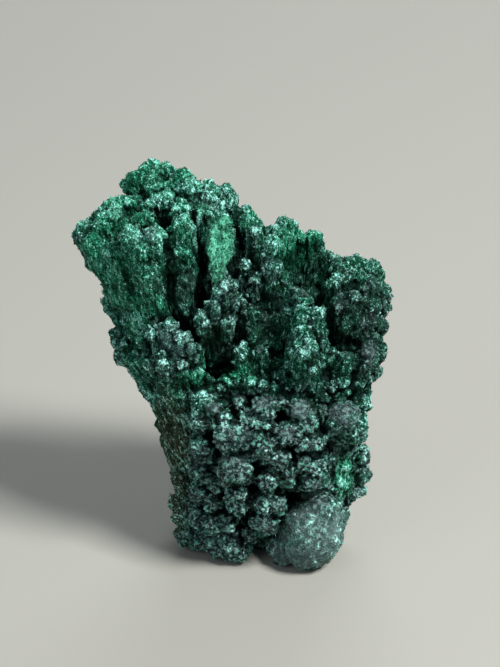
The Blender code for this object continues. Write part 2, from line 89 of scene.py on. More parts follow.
# Each spray: root (x, y, z), column length, taper towards the root, and its tips.
# Each tip: across, up the leaning plane, depth behind it (+) or before it (-), radius.
SPRAYS = {
    "top lobe": ((-4.5, 2.0, 14.0), 7.0, 0.75, [
        (-10.05, 30.25, 5.0, 1.05), (-9.15, 31.0, 5.6, 1.0), (-7.85, 30.85, 5.2, 0.98),
        (-8.75, 30.0, 4.2, 0.95), (-9.65, 29.9, 6.6, 1.0), (-7.6, 29.6, 6.8, 1.1),
    ]),
    "top row": ((-3.6, 1.5, 13.0), 8.0, 0.7, [
        (-6.25, 30.2, 3.4, 0.95), (-5.15, 29.2, 3.8, 1.05), (-4.1, 29.1, 3.4, 1.1),
        (-2.75, 28.7, 3.2, 1.15), (-8.5, 29.1, 2.4, 0.8), (-7.6, 29.35, 2.6, 0.75),
    ]),
    "left rim": ((-4.8, 0.8, 8.0), 11.0, 0.7, [
        (-14.05, 25.75, 1.2, 1.15), (-13.3, 26.45, 1.9, 1.0), (-12.15, 27.65, 1.6, 1.05),
        (-11.05, 27.95, 2.2, 1.05), (-10.2, 28.05, 3.0, 0.95), (-13.4, 25.0, -0.8, 1.05),
        (-12.5, 26.2, -0.6, 1.05), (-11.45, 27.0, -0.2, 1.0),
    ]),
    "left flank": ((-4.6, 0.4, 7.0), 9.0, 0.75, [
        (-12.9, 23.9, 1.2, 1.1), (-12.2, 23.3, -1.6, 1.1), (-11.6, 24.0, -2.6, 1.1),
        (-11.95, 21.5, 1.2, 1.1), (-11.45, 21.1, -0.8, 1.1), (-10.8, 22.1, -2.4, 1.15),
        (-10.1, 20.6, -2.8, 1.0), (-9.1, 20.1, -3.2, 1.0), (-8.0, 20.0, -3.4, 0.95),
        (-7.0, 20.0, -3.2, 0.85), (-11.55, 20.0, 0.6, 1.1),
    ]),
    "second row": ((-3.6, 0.0, 10.0), 9.0, 0.7, [
        (-7.8, 28.2, -0.4, 1.05), (-8.85, 27.6, -0.8, 0.9), (-5.55, 29.1, 0.6, 1.0),
        (-3.75, 28.4, 0.2, 1.05), (-4.65, 27.3, -1.0, 0.95), (-6.35, 27.5, -1.4, 0.95),
        (-9.3, 26.7, -2.4, 0.85),
    ]),
    "front row": ((-5.0, 1.0, 10.0), 8.0, 0.8, [
        (-10.25, 25.2, -4.0, 1.1), (-8.2, 25.2, -4.6, 1.05), (-9.2, 24.3, -4.8, 1.0),
        (-8.9, 22.6, -5.2, 1.0), (-6.0, 26.1, -4.6, 1.05), (-6.05, 24.0, -4.9, 0.9),
        (-5.9, 22.4, -4.6, 0.85),
    ]),
    "behind leaf": ((-3.4, 0.4, 13.0), 6.0, 0.6, [
        (-3.2, 25.6, -3.4, 0.62), (-3.3, 24.2, -3.7, 0.66), (-3.75, 22.6, -3.9, 0.55),
    ]),
    "under leaf": ((-3.0, 1.5, 12.0), 6.5, 0.8, [
        (-2.6, 21.3, -4.6, 0.9), (-3.5, 19.9, -4.9, 0.85), (-4.4, 18.7, -5.1, 0.9),
        (-2.8, 18.6, -4.8, 0.75),
    ]),
    "centre back": ((-0.4, 2.0, 13.0), 8.0, 0.75, [
        (-1.05, 27.1, 3.0, 0.9), (0.0, 26.4, 3.4, 0.85), (-2.0, 26.8, 3.6, 0.85),
        (1.5, 25.9, 2.6, 0.8),
    ]),
    "centre": ((-0.2, 0.0, 10.0), 8.0, 0.7, [
        (-0.45, 25.8, -0.4, 0.62), (-1.15, 22.9, -1.8, 0.85), (-0.25, 22.0, -2.2, 0.75),
        (1.2, 24.8, -2.2, 0.72), (1.45, 23.0, -2.9, 0.66), (0.55, 24.2, -1.8, 0.7),
        (-1.7, 20.4, -2.6, 0.75), (-0.6, 19.2, -2.9, 0.8), (0.6, 18.6, -2.4, 0.75),
        (1.6, 18.8, -2.6, 0.75), (-1.3, 15.95, -4.4, 0.8), (0.15, 16.2, -4.2, 0.7),
        (-0.3, 17.6, -3.6, 0.65), (1.3, 17.1, -3.0, 0.7), (1.75, 15.4, -3.6, 0.7),
    ]),
    "valley lip": ((3.4, -0.6, 10.0), 6.0, 0.8, [
        (2.45, 21.1, -3.0, 0.62), (3.25, 20.6, -3.2, 0.62), (4.0, 20.1, -3.4, 0.62),
        (2.7, 19.2, -3.6, 0.75), (3.75, 19.0, -4.9, 0.85), (4.95, 19.2, -5.4, 0.75),
        (3.7, 17.9, -5.5, 0.85), (3.7, 16.5, -6.0, 1.0), (2.75, 16.4, -4.6, 0.7),
        (4.3, 14.8, -5.6, 0.8), (5.1, 17.0, -4.8, 0.65), (5.0, 15.6, -4.8, 0.7),
    ]),
    "valley back wall": ((2.0, 3.2, 12.0), 10.0, 1.0, [
        (2.4, 26.5, 6.8, 0.95), (3.3, 25.6, 6.9, 0.95), (4.0, 25.1, 6.9, 0.9),
        (4.7, 25.4, 6.6, 0.95), (5.5, 24.0, 6.0, 0.95), (6.6, 23.2, 5.0, 0.95),
        (1.3, 25.6, 6.2, 0.9),
    ]),
    "right mass": ((3.6, 0.6, 9.0), 9.5, 0.8, [
        (8.05, 23.05, 3.4, 1.2), (9.35, 22.55, 2.4, 1.1), (6.95, 22.7, 1.6, 1.0),
        (7.85, 22.0, 0.4, 1.05), (9.1, 21.4, -0.2, 1.1), (9.9, 20.7, 1.2, 1.3),
        (10.05, 20.2, 3.4, 1.2), (6.6, 21.5, -0.6, 0.95), (7.85, 20.2, -2.6, 0.95),
        (6.5, 20.0, -2.2, 0.85), (9.1, 19.6, -2.0, 1.1), (9.85, 18.3, -0.2, 1.0),
        (7.2, 18.6, -2.6, 0.85), (8.3, 18.4, -2.6, 0.9), (9.75, 16.2, -1.2, 0.98),
        (9.2, 17.1, -2.6, 0.8), (8.9, 15.6, -3.8, 0.95), (9.3, 14.5, -1.8, 0.95),
        (7.2, 15.4, -4.4, 0.8), (6.2, 15.6, -4.0, 0.7), (6.6, 14.0, -4.2, 0.8),
        (8.1, 13.8, -3.4, 0.85),
    ]),
    "left middle": ((-4.4, 0.0, 7.0), 7.0, 0.8, [
        (-11.1, 17.3, 1.0, 1.15), (-10.25, 18.4, -1.6, 0.8), (-10.7, 16.3, -0.8, 1.05),
        (-9.8, 15.4, -1.8, 1.1), (-9.2, 17.2, -3.4, 0.85), (-8.4, 17.7, -4.4, 0.8),
        (-7.15, 17.8, -5.4, 0.9), (-6.15, 16.9, -5.8, 0.95), (-5.2, 16.1, -5.2, 0.8),
        (-7.6, 15.6, -5.4, 0.95), (-6.4, 15.1, -5.6, 0.9), (-8.7, 15.2, -4.2, 0.9),
        (-7.7, 14.0, -4.4, 0.85), (-5.0, 14.5, -4.6, 0.7),
    ]),
    "ledge": ((0.3, 0.8, 9.0), 5.5, 0.8, [
        (-4.6, 11.9, -5.4, 1.05), (-3.6, 11.4, -5.9, 0.7), (-4.9, 10.3, -5.5, 0.85),
        (-3.6, 10.3, -6.0, 0.6), (-2.7, 10.5, -6.5, 0.6), (-1.6, 12.0, -5.0, 0.65),
        (-1.1, 10.6, -6.2, 0.6), (-0.3, 9.9, -6.6, 0.6), (0.3, 11.7, -5.6, 0.75),
        (1.15, 11.7, -5.7, 0.75), (2.0, 11.9, -5.5, 0.6), (0.9, 10.8, -6.2, 0.65),
        (0.4, 10.1, -6.4, 0.7), (3.45, 11.3, -5.9, 1.0), (2.2, 9.4, -7.0, 0.9),
        (3.5, 10.0, -6.5, 0.7), (4.3, 10.2, -6.2, 0.7), (3.6, 8.6, -6.9, 0.65),
        (4.5, 8.7, -6.6, 0.6), (5.2, 8.8, -6.2, 0.65), (5.2, 11.0, -5.2, 0.75),
        (7.0, 10.8, -5.3, 1.4), (7.6, 10.0, -4.8, 1.35), (8.2, 11.6, -3.0, 1.05),
        (6.85, 12.9, -4.0, 0.8), (8.05, 9.4, -2.8, 1.1), (8.5, 12.2, -0.8, 1.0),
        (8.2, 10.2, 0.4, 1.1),
    ]),
    "above ledge": ((0.3, 1.2, 9.0), 4.5, 0.8, [
        (-4.1, 13.6, -4.2, 0.7), (-3.4, 12.9, -4.8, 0.6), (-2.6, 13.7, -4.3, 0.62),
        (-1.6, 14.1, -4.4, 0.65), (-0.6, 13.5, -4.6, 0.6), (0.4, 13.2, -4.6, 0.6),
        (1.15, 12.95, -4.9, 0.55), (1.7, 14.2, -4.1, 0.55), (2.3, 13.1, -4.7, 0.55),
        (3.1, 13.6, -4.7, 0.6), (4.6, 13.5, -4.8, 0.55), (5.15, 12.7, -4.9, 0.52),
        (5.9, 13.2, -4.4, 0.55),
    ]),
    "neck front": ((0.2, 0.8, 6.0), 5.5, 0.85, [
        (-2.7, 9.1, -7.2, 1.05), (-1.75, 9.05, -7.4, 1.1), (-4.7, 8.1, -5.6, 1.1),
        (-1.9, 6.6, -7.3, 1.5), (0.45, 8.2, -7.5, 0.9), (1.6, 7.4, -7.5, 0.95),
        (0.8, 5.5, -7.2, 0.95), (2.35, 5.9, -6.8, 0.85), (4.6, 6.4, -6.0, 1.05),
        (4.6, 5.5, -5.8, 1.0), (3.6, 7.1, -6.2, 0.85), (5.6, 7.2, -4.8, 0.9),
        (-1.8, 4.25, -6.7, 0.95), (-1.7, 3.3, -6.5, 0.95), (0.4, 3.6, -6.7, 0.9),
        (1.5, 3.6, -6.5, 0.95), (0.5, 2.0, -6.0, 1.15), (-3.6, 5.4, -5.4, 0.95),
        (-4.8, 6.2, -5.0, 0.9), (-4.9, 4.2, -4.4, 0.95), (-3.6, 3.6, -5.0, 0.8),
        (-3.6, 1.7, -5.1, 0.95), (-2.6, 1.6, -5.5, 0.85), (-4.9, 2.2, -4.0, 0.9),
        (-0.6, 0.8, -4.6, 0.75), (-2.3, -0.45, -4.4, 1.15), (-1.5, -0.6, -4.4, 1.0),
        (-3.6, -0.25, -3.6, 1.1), (-4.8, 0.15, -2.8, 1.1), (-5.95, 0.6, -2.0, 1.2),
        (-6.25, 2.2, -2.0, 1.15),
    ]),
    "boss": ((3.2, 0.6, 3.0), 4.0, 1.0, [
        (4.3, 0.45, -4.6, 2.75), (2.6, -0.25, -4.0, 1.85), (5.3, 2.4, -3.9, 1.85),
        (5.7, 0.5, -3.2, 1.75), (3.4, 1.9, -4.4, 1.9),
    ]),
    "right foot": ((4.2, 1.0, 1.0), 6.0, 0.9, [
        (8.45, 7.3, 0.8, 1.0), (8.6, 5.8, 0.9, 1.0), (8.1, 4.3, 0.8, 1.0),
        (7.1, 6.6, -1.6, 0.9), (6.7, 5.0, -1.8, 0.85), (7.5, 8.4, -1.2, 0.9),
        (6.8, 2.2, 0.2, 1.1), (6.6, 0.8, 1.6, 1.1),
    ]),
    "left foot": ((-3.0, 0.4, 1.0), 8.0, 0.9, [
        (-6.55, 3.4, -0.4, 0.95), (-6.5, 5.4, -1.6, 0.95), (-6.8, 7.3, -0.4, 1.0),
        (-7.3, 8.6, 0.4, 1.1), (-6.6, 6.0, 1.6, 1.0), (-8.0, 12.3, 1.4, 0.95),
        (-9.2, 14.4, 1.2, 0.95), (-6.2, 8.9, -2.6, 0.95), (-7.45, 10.0, -1.0, 1.0),
        (-7.8, 11.4, -1.0, 1.0), (-8.6, 13.2, -0.8, 1.05), (-6.2, 12.2, -3.6, 0.9),
        (-7.2, 12.8, -3.0, 0.85),
    ]),
}

# The one flat leaf of fibres: across, up, half width, half height of the flat rounds that make its outline.
LEAF_DEPTH = -4.5
LEAF_THICKNESS = 1.0
LEAF_TURN = math.radians(15.0)
LEAF = [
    (-2.95, 25.1, 1.1, 1.6), (-2.75, 26.1, 0.65, 1.0), (-3.15, 24.4, 1.0, 1.7),
    (-3.55, 23.2, 0.65, 1.6),
]

# ---- places with a finish of their own
# On the leaning plane, in millimetres: across, up, half width, half height, strength.
# flat tops rubbed to a dull grey
WORN = [
    (-1.6, 12.4, 0.45, 0.35, 0.8), (0.7, 11.9, 0.95, 0.55, 1.0), (-3.6, 11.6, 0.65, 0.6, 1.0),
    (3.45, 11.5, 0.95, 0.8, 1.0), (7.1, 11.1, 1.35, 1.1, 1.0), (2.4, 9.4, 0.75, 0.55, 1.0),
    (9.1, 16.2, 0.75, 0.9, 0.9), (2.45, 21.65, 0.6, 0.32, 1.0), (3.1, 21.25, 0.6, 0.32, 1.0),
    (3.8, 20.8, 0.55, 0.28, 1.0), (0.1, 16.4, 0.45, 0.4, 0.8), (-8.6, 25.7, 0.5, 0.5, 0.7),
    (-2.7, 9.4, 0.8, 0.7, 0.5), (-1.9, 7.2, 1.0, 0.7, 0.5), (0.6, 1.6, 0.8, 0.6, 0.5),
    (4.0, 3.4, 2.0, 0.9, 0.7),
]
# pale mint tips, partly painted highlights where tips and edges catch the light
MINT = [
    (-11.7, 27.4, 0.6, 0.5, 1.0), (-12.4, 26.6, 0.8, 0.6, 0.4), (-10.2, 25.7, 0.9, 0.7, 0.9),
    (-7.9, 25.5, 1.0, 0.7, 0.9), (-7.8, 28.5, 0.7, 0.9, 0.6), (-5.5, 29.5, 0.9, 0.6, 0.6),
    (-2.9, 28.2, 0.3, 0.8, 0.6), (-6.0, 26.8, 0.9, 0.4, 0.6), (-8.4, 29.5, 1.3, 0.35, 0.5),
    (-9.8, 21.3, 0.35, 0.35, 0.9), (-3.1, 21.4, 0.8, 0.5, 0.6), (-3.4, 20.0, 0.4, 0.9, 0.8),
    (-3.6, 25.4, 0.3, 1.2, 0.9), (5.1, 19.3, 0.7, 0.6, 0.8), (4.0, 18.8, 0.9, 0.6, 0.6),
    (3.7, 16.8, 0.8, 1.0, 0.4), (4.3, 14.6, 0.4, 0.6, 0.4), (-1.4, 16.3, 0.4, 0.8, 0.6),
    (-7.1, 18.3, 0.5, 0.5, 0.7), (-6.2, 17.4, 0.9, 0.8, 0.7), (-8.5, 17.4, 0.25, 0.6, 0.8),
    (-7.6, 15.0, 0.8, 0.5, 0.9), (7.9, 20.6, 0.8, 0.5, 0.7), (7.6, 22.7, 0.9, 0.4, 0.5),
    (10.6, 20.6, 0.5, 0.9, 0.8), (1.5, 24.0, 0.35, 2.2, 0.8), (-0.4, 26.2, 0.4, 0.4, 0.8),
    (-1.2, 23.2, 0.8, 0.5, 0.5), (7.4, 5.3, 0.5, 1.2, 0.7), (-9.9, 18.4, 0.6, 0.8, 0.8),
    (-1.0, 13.8, 1.2, 0.5, 0.3), (-4.5, 12.5, 0.8, 0.5, 0.9), (-4.8, 10.4, 0.5, 0.5, 0.8),
    (-2.7, 10.6, 0.35, 0.6, 0.9), (-0.7, 10.5, 0.9, 0.4, 0.7), (-3.3, 9.4, 0.3, 0.4, 0.9),
    (2.9, 21.5, 1.0, 0.4, 0.7), (5.15, 8.8, 0.35, 0.35, 0.9), (6.9, 13.3, 0.4, 0.4, 0.8),
    (-1.8, 1.4, 0.8, 0.6, 0.8), (1.2, 5.6, 0.5, 0.3, 1.0), (0.8, 3.4, 0.9, 0.6, 0.9),
    (6.7, 0.6, 0.6, 1.8, 1.0), (8.9, 4.6, 0.5, 1.2, 0.9), (8.9, 7.2, 0.4, 0.7, 0.5),
    (9.0, 16.8, 0.7, 0.3, 0.8), (-6.4, 8.4, 0.2, 0.5, 0.8), (-3.5, 0.9, 1.1, 0.7, 0.7),
]
# vivid green; above 0.9 it is paler too
EMERALD = [
    (-9.5, 28.6, 6.0, 4.2, 0.65), (-1.6, 14.3, 2.2, 0.9, 0.9), (-4.4, 14.2, 1.6, 1.0, 0.7),
    (-10.5, 22.5, 4.0, 3.5, 0.5), (-9.9, 18.4, 0.8, 1.0, 1.4), (-8.8, 20.2, 2.6, 0.8, 0.35),
    (-1.0, 27.2, 1.1, 0.8, 0.6), (3.5, 25.3, 2.2, 1.6, 0.6), (7.3, 5.4, 0.9, 1.9, 1.4),
    (-5.0, 13.9, 0.6, 1.1, 1.2), (-1.0, 13.6, 1.2, 0.7, 0.5), (-10.2, 15.6, 1.0, 0.8, 0.6),
    (-6.8, 12.6, 0.7, 0.8, 0.6), (-9.8, 27.0, 1.6, 1.0, 0.8), (-12.6, 24.8, 1.6, 1.4, 0.5),
    (-9.4, 30.5, 1.6, 1.2, 0.4), (-5.8, 24.6, 1.2, 1.6, 0.4), (2.4, 4.9, 0.7, 0.6, 0.5),
]
# rounds with a lower relief
EVEN = [
    (-9.4, 30.4, 2.2, 1.7, 1.0), (-12.6, 25.2, 2.0, 2.6, 0.6), (-2.9, 28.6, 1.6, 1.2, 0.5),
]
# darker places: partly darker growth, partly painted shade in recesses, pockets and the valley
SHADED = [
    (-9.4, 30.4, 2.2, 1.6, 0.5), (8.6, 19.4, 3.2, 4.6, 1.0), (7.8, 14.5, 1.6, 2.0, 0.6),
    (1.0, 18.0, 1.6, 2.6, 1.0), (4.0, 22.8, 2.2, 2.4, 1.0), (-5.6, 22.4, 1.4, 2.2, 0.8),
    (-7.6, 21.6, 1.0, 1.0, 0.5), (-9.6, 23.2, 1.0, 1.1, 0.6), (-9.4, 27.0, 0.9, 0.8, 0.5),
    (-11.2, 24.6, 1.2, 1.4, 0.4), (-8.8, 20.0, 2.6, 0.9, 0.5), (-3.4, 16.6, 1.5, 1.6, 0.8),
    (-1.0, 19.5, 2.2, 1.6, 0.5), (-11.6, 17.3, 1.2, 1.2, 0.3), (2.0, 0.6, 1.2, 2.0, 0.5),
    (4.4, 3.2, 1.6, 0.8, 0.5), (-0.5, 9.0, 1.6, 0.7, 0.6), (-3.6, 13.1, 1.2, 0.6, 0.8),
    (-6.8, 13.6, 1.6, 0.9, 0.5), (-7.6, 8.6, 1.0, 3.2, 0.7), (4.0, 15.0, 1.3, 1.2, 0.4),
    (0.6, 13.2, 1.0, 0.7, 0.4), (8.4, 23.0, 1.6, 0.7, 0.6),
]
# the face of the leaf
LEAF_FACE = [(-3.05, 24.6, 1.1, 2.6, 1.0)]
# slate tones in place of green ones
SLATE_ZONE = [
    (0.5, 4.0, 9.5, 8.4, 1.0), (1.0, -1.0, 9.5, 5.4, 1.0), (8.6, 18.5, 3.4, 4.6, 0.55),
    (-1.8, 20.5, 3.4, 4.8, 0.45), (-7.0, 16.6, 3.2, 2.4, 0.5), (-7.0, 22.0, 2.4, 2.0, 0.5),
    (-6.0, 28.6, 2.8, 1.4, 0.3),
]
# bare fibres without velvet
FIBROUS = [
    (-13.2, 23.0, 1.3, 3.2, 1.0), (-8.8, 20.2, 2.6, 0.9, 1.0), (-10.6, 27.1, 1.3, 0.9, 0.9),
    (3.4, 25.2, 2.4, 1.9, 0.7), (-7.2, 6.5, 1.3, 5.5, 1.0), (7.2, 5.5, 0.8, 2.0, 0.9),
    (-9.9, 18.4, 0.8, 1.0, 1.0), (-5.0, 13.9, 0.6, 1.0, 1.0),
]
# plain lumps with fewer fine specks
CALM = [(0.5, 6.8, 8.2, 5.8, 1.0), (0.5, 0.5, 8.2, 3.6, 0.9)]
# sunk, and darkened with painted shade
HOLLOWS = [
    (4.3, 23.4, 1.8, 1.8, 0.9), (-1.4, 25.0, 0.6, 1.1, 0.6), (1.1, 20.6, 0.9, 0.7, 1.0),
    (2.6, 20.0, 0.7, 0.6, 0.6), (1.6, 17.6, 0.9, 1.9, 0.5), (3.75, 16.6, 0.3, 0.35, 1.0),
    (-3.6, 16.4, 1.3, 1.1, 0.5), (-3.5, 17.6, 0.6, 0.7, 0.8), (-6.9, 22.4, 0.35, 1.4, 0.7),
    (-7.3, 24.2, 0.35, 0.6, 0.9), (-4.75, 22.6, 0.3, 2.2, 0.5), (-10.6, 27.4, 1.3, 0.5, 0.6),
    (-11.6, 19.4, 0.8, 0.45, 1.0), (5.6, 19.2, 0.35, 0.8, 0.7), (7.2, 16.8, 1.1, 0.35, 0.8),
    (-4.0, 13.6, 0.6, 0.6, 0.9), (-6.05, 13.3, 0.25, 0.6, 0.8), (6.3, 6.2, 0.3, 0.9, 0.6),
    (-8.5, 13.4, 0.5, 0.5, 0.8), (-3.4, 10.6, 0.3, 0.5, 0.8), (2.1, 12.6, 1.0, 0.5, 0.6),
    (8.3, 5.5, 0.35, 0.6, 0.8), (-0.2, 21.2, 0.5, 0.5, 0.6),
]
# flutes right up to the tips
STREAKED = [
    (8.4, 19.6, 3.4, 4.6, 1.0), (1.4, 17.5, 1.6, 3.0, 0.9), (-8.0, 23.0, 5.5, 2.6, 0.7),
    (-12.6, 24.0, 2.2, 3.6, 0.7), (0.0, 24.5, 1.6, 2.6, 0.5), (-7.2, 6.5, 1.6, 6.0, 1.0),
]
# Small rounded lumps of the front: across, up, half width, half height, how far they stand out.
LUMPS = [
    (-11.5, 17.2, 0.95, 0.9, 0.35), (-9.65, 16.9, 0.55, 0.5, 0.28), (-10.35, 18.3, 0.5, 1.0, 0.28),
    (-7.1, 18.3, 0.55, 0.5, 0.25), (-6.2, 17.3, 0.65, 0.6, 0.25), (-5.4, 16.4, 0.5, 0.45, 0.2),
    (-7.6, 15.0, 0.8, 0.6, 0.25), (-6.2, 15.2, 0.6, 0.5, 0.2), (-9.6, 15.2, 0.8, 0.6, 0.22),
    (-5.0, 14.0, 0.5, 0.95, 0.4), (-6.9, 12.7, 0.55, 0.6, 0.22), (-12.3, 21.3, 0.6, 0.9, 0.15),
    (-11.7, 27.4, 0.8, 0.6, 0.2), (-7.8, 28.4, 0.8, 0.8, 0.2), (-5.5, 29.5, 0.8, 0.6, 0.2),
    (-3.1, 21.4, 0.85, 0.6, 0.2), (-1.2, 23.2, 0.7, 0.5, 0.22), (-0.3, 22.1, 0.6, 0.6, 0.22),
    (5.2, 19.3, 0.6, 0.55, 0.25), (3.6, 16.3, 0.7, 1.5, 0.16), (2.35, 21.75, 0.55, 0.26, 0.34),
    (3.05, 21.3, 0.6, 0.28, 0.34), (3.8, 20.8, 0.55, 0.24, 0.3), (4.2, 14.7, 0.5, 0.6, 0.2),
    (-1.3, 16.2, 0.5, 0.75, 0.28), (0.1, 16.4, 0.4, 0.4, 0.22), (0.9, 15.0, 0.4, 0.6, 0.2),
    (7.2, 15.7, 0.6, 0.6, 0.22), (6.9, 14.0, 0.45, 0.9, 0.25), (9.1, 16.3, 0.8, 0.8, 0.2),
    (8.2, 20.9, 0.95, 0.8, 0.28), (-1.9, 14.4, 0.5, 0.4, 0.22), (-0.6, 13.6, 0.45, 0.4, 0.22),
    (0.9, 13.5, 0.4, 0.4, 0.22), (2.3, 13.8, 0.45, 0.4, 0.22), (3.4, 13.2, 0.4, 0.4, 0.22),
    (5.3, 13.3, 0.5, 0.4, 0.22), (-3.0, 13.2, 0.4, 0.35, 0.22), (-3.5, 19.5, 0.45, 0.8, 0.22),
    (2.8, 4.9, 0.9, 0.7, 0.45), (4.4, 5.2, 0.8, 0.5, 0.4), (8.9, 6.9, 0.45, 0.6, 0.3),
    (8.9, 5.2, 0.45, 0.6, 0.35), (8.9, 11.9, 0.55, 0.6, 0.15),
]
# gaps that get less painted shade
SHADE_LIFTED_GAPS = [
    (2.8, 5.0, 1.3, 1.0, 0.9), (4.6, 5.2, 1.3, 0.7, 0.8), (0.6, 3.2, 1.2, 0.8, 0.7),
    (8.8, 5.6, 0.8, 1.8, 0.6),
]
# the smooth boss
SMOOTH = [(4.4, 0.6, 3.4, 3.4, 1.0)]
# a grey bloom, and painted light on the boss's right rim and underside
DUST_AND_LIGHT = [
    (4.4, 0.2, 3.2, 2.8, 0.5), (6.9, 0.8, 1.0, 2.4, 1.0), (4.0, -1.4, 3.0, 1.2, 0.8),
    (-6.2, 17.2, 1.6, 1.3, 0.5), (-9.3, 25.6, 1.6, 0.9, 0.5),
]
# olive-black long fibres
OLIVE = [(-7.4, 6.5, 1.6, 6.0, 1.0)]

# ---- colours (linear)
# black-green of the painted shade in the gaps
SHADE_BLACK_GREEN = (0.0005, 0.005, 0.0028)
DARK_GREEN = (0.0016, 0.036, 0.017)
GREEN = (0.009, 0.13, 0.066)
BRIGHT = (0.016, 0.26, 0.135)
DARK_SLATE = (0.009, 0.022, 0.02)
MID_SLATE = (0.065, 0.1, 0.1)
GREY_MINT = (0.15, 0.42, 0.36)
LIGHT_EMERALD = (0.06, 0.46, 0.27)
GREY = (0.17, 0.295, 0.28)
MINT_BLOT = (0.13, 0.43, 0.33)
# white-mint of the brightest flecks, partly painted highlights
WHITE_MINT = (0.42, 0.88, 0.8)
OLIVE_DARK = (0.036, 0.04, 0.023)
OLIVE_PALE = (0.24, 0.31, 0.18)
WORN_DARK = (0.042, 0.06, 0.064)
WORN_PALE = (0.125, 0.17, 0.185)
LEAF_DARK = (0.014, 0.17, 0.095)
LEAF_PALE = (0.17, 0.68, 0.45)

TONE = -0.61

# ---- relief and fine growth, millimetres
BIG_DOME = 0.85
BIG_HEIGHT = 0.42
SMALL_DOME = 0.36
SMALL_HEIGHT = 0.22
BROAD_DOME = 1.9
BROAD_HEIGHT = 0.55
HOLLOW_DEPTH = 0.35
LUMP_SHARE = 0.7
FLUTE_HEIGHT = 0.14
THIN_HEIGHT = 0.07
INSET = 0.1
NEEDLES = 118000
NEEDLE_CELL = 0.115
NEEDLE_LENGTH = (0.06, 0.13)
NEEDLE_RADIUS = (0.038, 0.08)
GRAINS = 26000
GRAIN_CELL = 0.22
GRAIN_RADIUS = (0.045, 0.11)
FIBRES = 18000
FIBRE_CELL = 0.2
FIBRE_LENGTH = (0.35, 0.9)
FIBRE_RADIUS = (0.028, 0.062)
PIECE_TRIANGLES = 199000


def unit(v):
    """Rows scaled to length one."""
    return v / np.maximum(np.linalg.norm(v, axis=-1, keepdims=True), 1e-12)


def step(low, high, value):
    """Smooth step from 0 at low to 1 at high."""
    t = np.clip((value - low) / (high - low), 0.0, 1.0)
    return t * t * (3.0 - 2.0 * t)


def on_plane(across, up, depth):
    """A point of the leaning drawing plane, moved along the level line of sight to the asked depth."""
    return np.array((across, depth, up / math.cos(LEAN) - depth * math.tan(LEAN)))


def to_camera(normals):
    """How much each normal turns to the camera, -1 to 1."""
    return normals[:, 2] * math.sin(LEAN) - normals[:, 1] * math.cos(LEAN)


def ovals(table, points, edge):
    """For each oval place of the front: how far out the points lie, 1 on its rim, and its last number."""
    across, up = points[:, 0], points[:, 2] * math.cos(LEAN) + points[:, 1] * math.sin(LEAN)
    for a, u, wide, tall, last in table:
        yield np.sqrt(((across - a) / wide) ** 2 + ((up - u) / tall) ** 2) + edge, last


def patches(table, points, normals, soft=0.3):
    """0 to 1: how far a point lies in one of the oval places of the front."""
    edge = noise_at(points, 0.9, 21.0) * 0.3 + noise_at(points, 0.35, 4.0) * 0.25
    found = np.zeros(len(points))
    for far, strength in ovals(table, points, edge):
        found = np.maximum(found, strength * (1.0 - step(1.0 - soft, 1.0 + soft, far)))
    return found * step(-0.2, 0.2, to_camera(normals))


def growth(points):
    """For each point the blended growth direction, the ray from its region's root and the usual length."""
    way = np.zeros_like(points)
    best = np.full(len(points), 1e9)
    ray = np.zeros_like(points)
    usual = np.zeros(len(points))
    for middle, size, root in GROWTH:
        far = np.linalg.norm(points - np.array(middle), axis=1) / size
        aim = points - np.array(root)
        way += unit(aim) * (1.0 / (far ** 4 + 0.02))[:, None]
        nearer = far < best
        best[nearer] = far[nearer]
        ray[nearer] = aim[nearer]
        usual[nearer] = np.linalg.norm(np.array(middle) - np.array(root))
    return unit(way), ray, usual


def fanned(ray, usual, squeeze):
    """Places in a fan laid straight: true across the fibres at their usual length, squeezed along them."""
    length = np.linalg.norm(ray, axis=1)
    return unit(ray) * (usual + squeeze * (length - usual))[:, None]


def bundles():
    """Foot, tip and both radii of every bundle of the front and the sides, then of the heart."""
    rows = []
    for root, length, taper, tips in SPRAYS.values():
        for across, up, depth, radius in tips:
            tip = on_plane(across, up, depth)
            line = tip - np.array(root)
            reach = min(length, np.linalg.norm(line))
            foot = tip - unit(line) * reach
            rows.append((foot, tip, radius * taper, radius))
    for start, start_radius, end, end_radius in HEART:
        rows.append((np.array(start), np.array(end), start_radius, end_radius))
    return rows


def leaf_frame():
    """The upright leaf's own directions: to its side, up it, and out of its face."""
    facing = np.array((math.sin(LEAF_TURN), -math.cos(LEAF_TURN), 0.0))
    side = np.array((math.cos(LEAF_TURN), math.sin(LEAF_TURN), 0.0))
    return side, np.array((0.0, 0.0, 1.0)), facing


def nearest_leaf(points):
    """Distance to the leaf's skin and the way out of it: flat faces and an edge of joined ovals."""
    side, upward, facing = leaf_frame()
    best = np.full(len(points), 1e9)
    out = np.zeros_like(points)
    for across, up, wide, half in LEAF:
        tall = half / math.cos(LEAN)
        off = points - on_plane(across, up, LEAF_DEPTH)
        u, v, w = off @ side, off @ upward, off @ facing
        rim = (np.sqrt((u / wide) ** 2 + (v / tall) ** 2) - 1.0) * min(wide, tall)
        face = np.abs(w) - LEAF_THICKNESS * 0.5
        gap = np.maximum(rim, face)
        edge_way = unit((u / wide ** 2)[:, None] * side + (v / tall ** 2)[:, None] * upward)
        face_way = np.sign(w)[:, None] * facing
        nearer = gap < best
        best[nearer] = gap[nearer]
        out[nearer] = np.where((face > rim)[:, None], face_way, edge_way)[nearer]
    return best, out


def leaf_relief(points):
    """Flaky fibres that fan out over the leaf from its foot."""
    side, upward, facing = leaf_frame()
    off = points - on_plane(-5.0, 20.5, LEAF_DEPTH)
    u, v = off @ side, off @ upward
    turn = np.arctan2(u, v)
    spread = np.column_stack((turn * 26.0, v * 0.9, np.zeros(len(points))))
    strand = 0.6 - np.abs(noise_at(spread, 1.0, 2.0)) * 2.2
    flake = noise_at(np.column_stack((turn * 11.0, v * 1.6, v * 0.0)), 1.0, 8.0)
    return strand * 0.12 + flake * 0.14


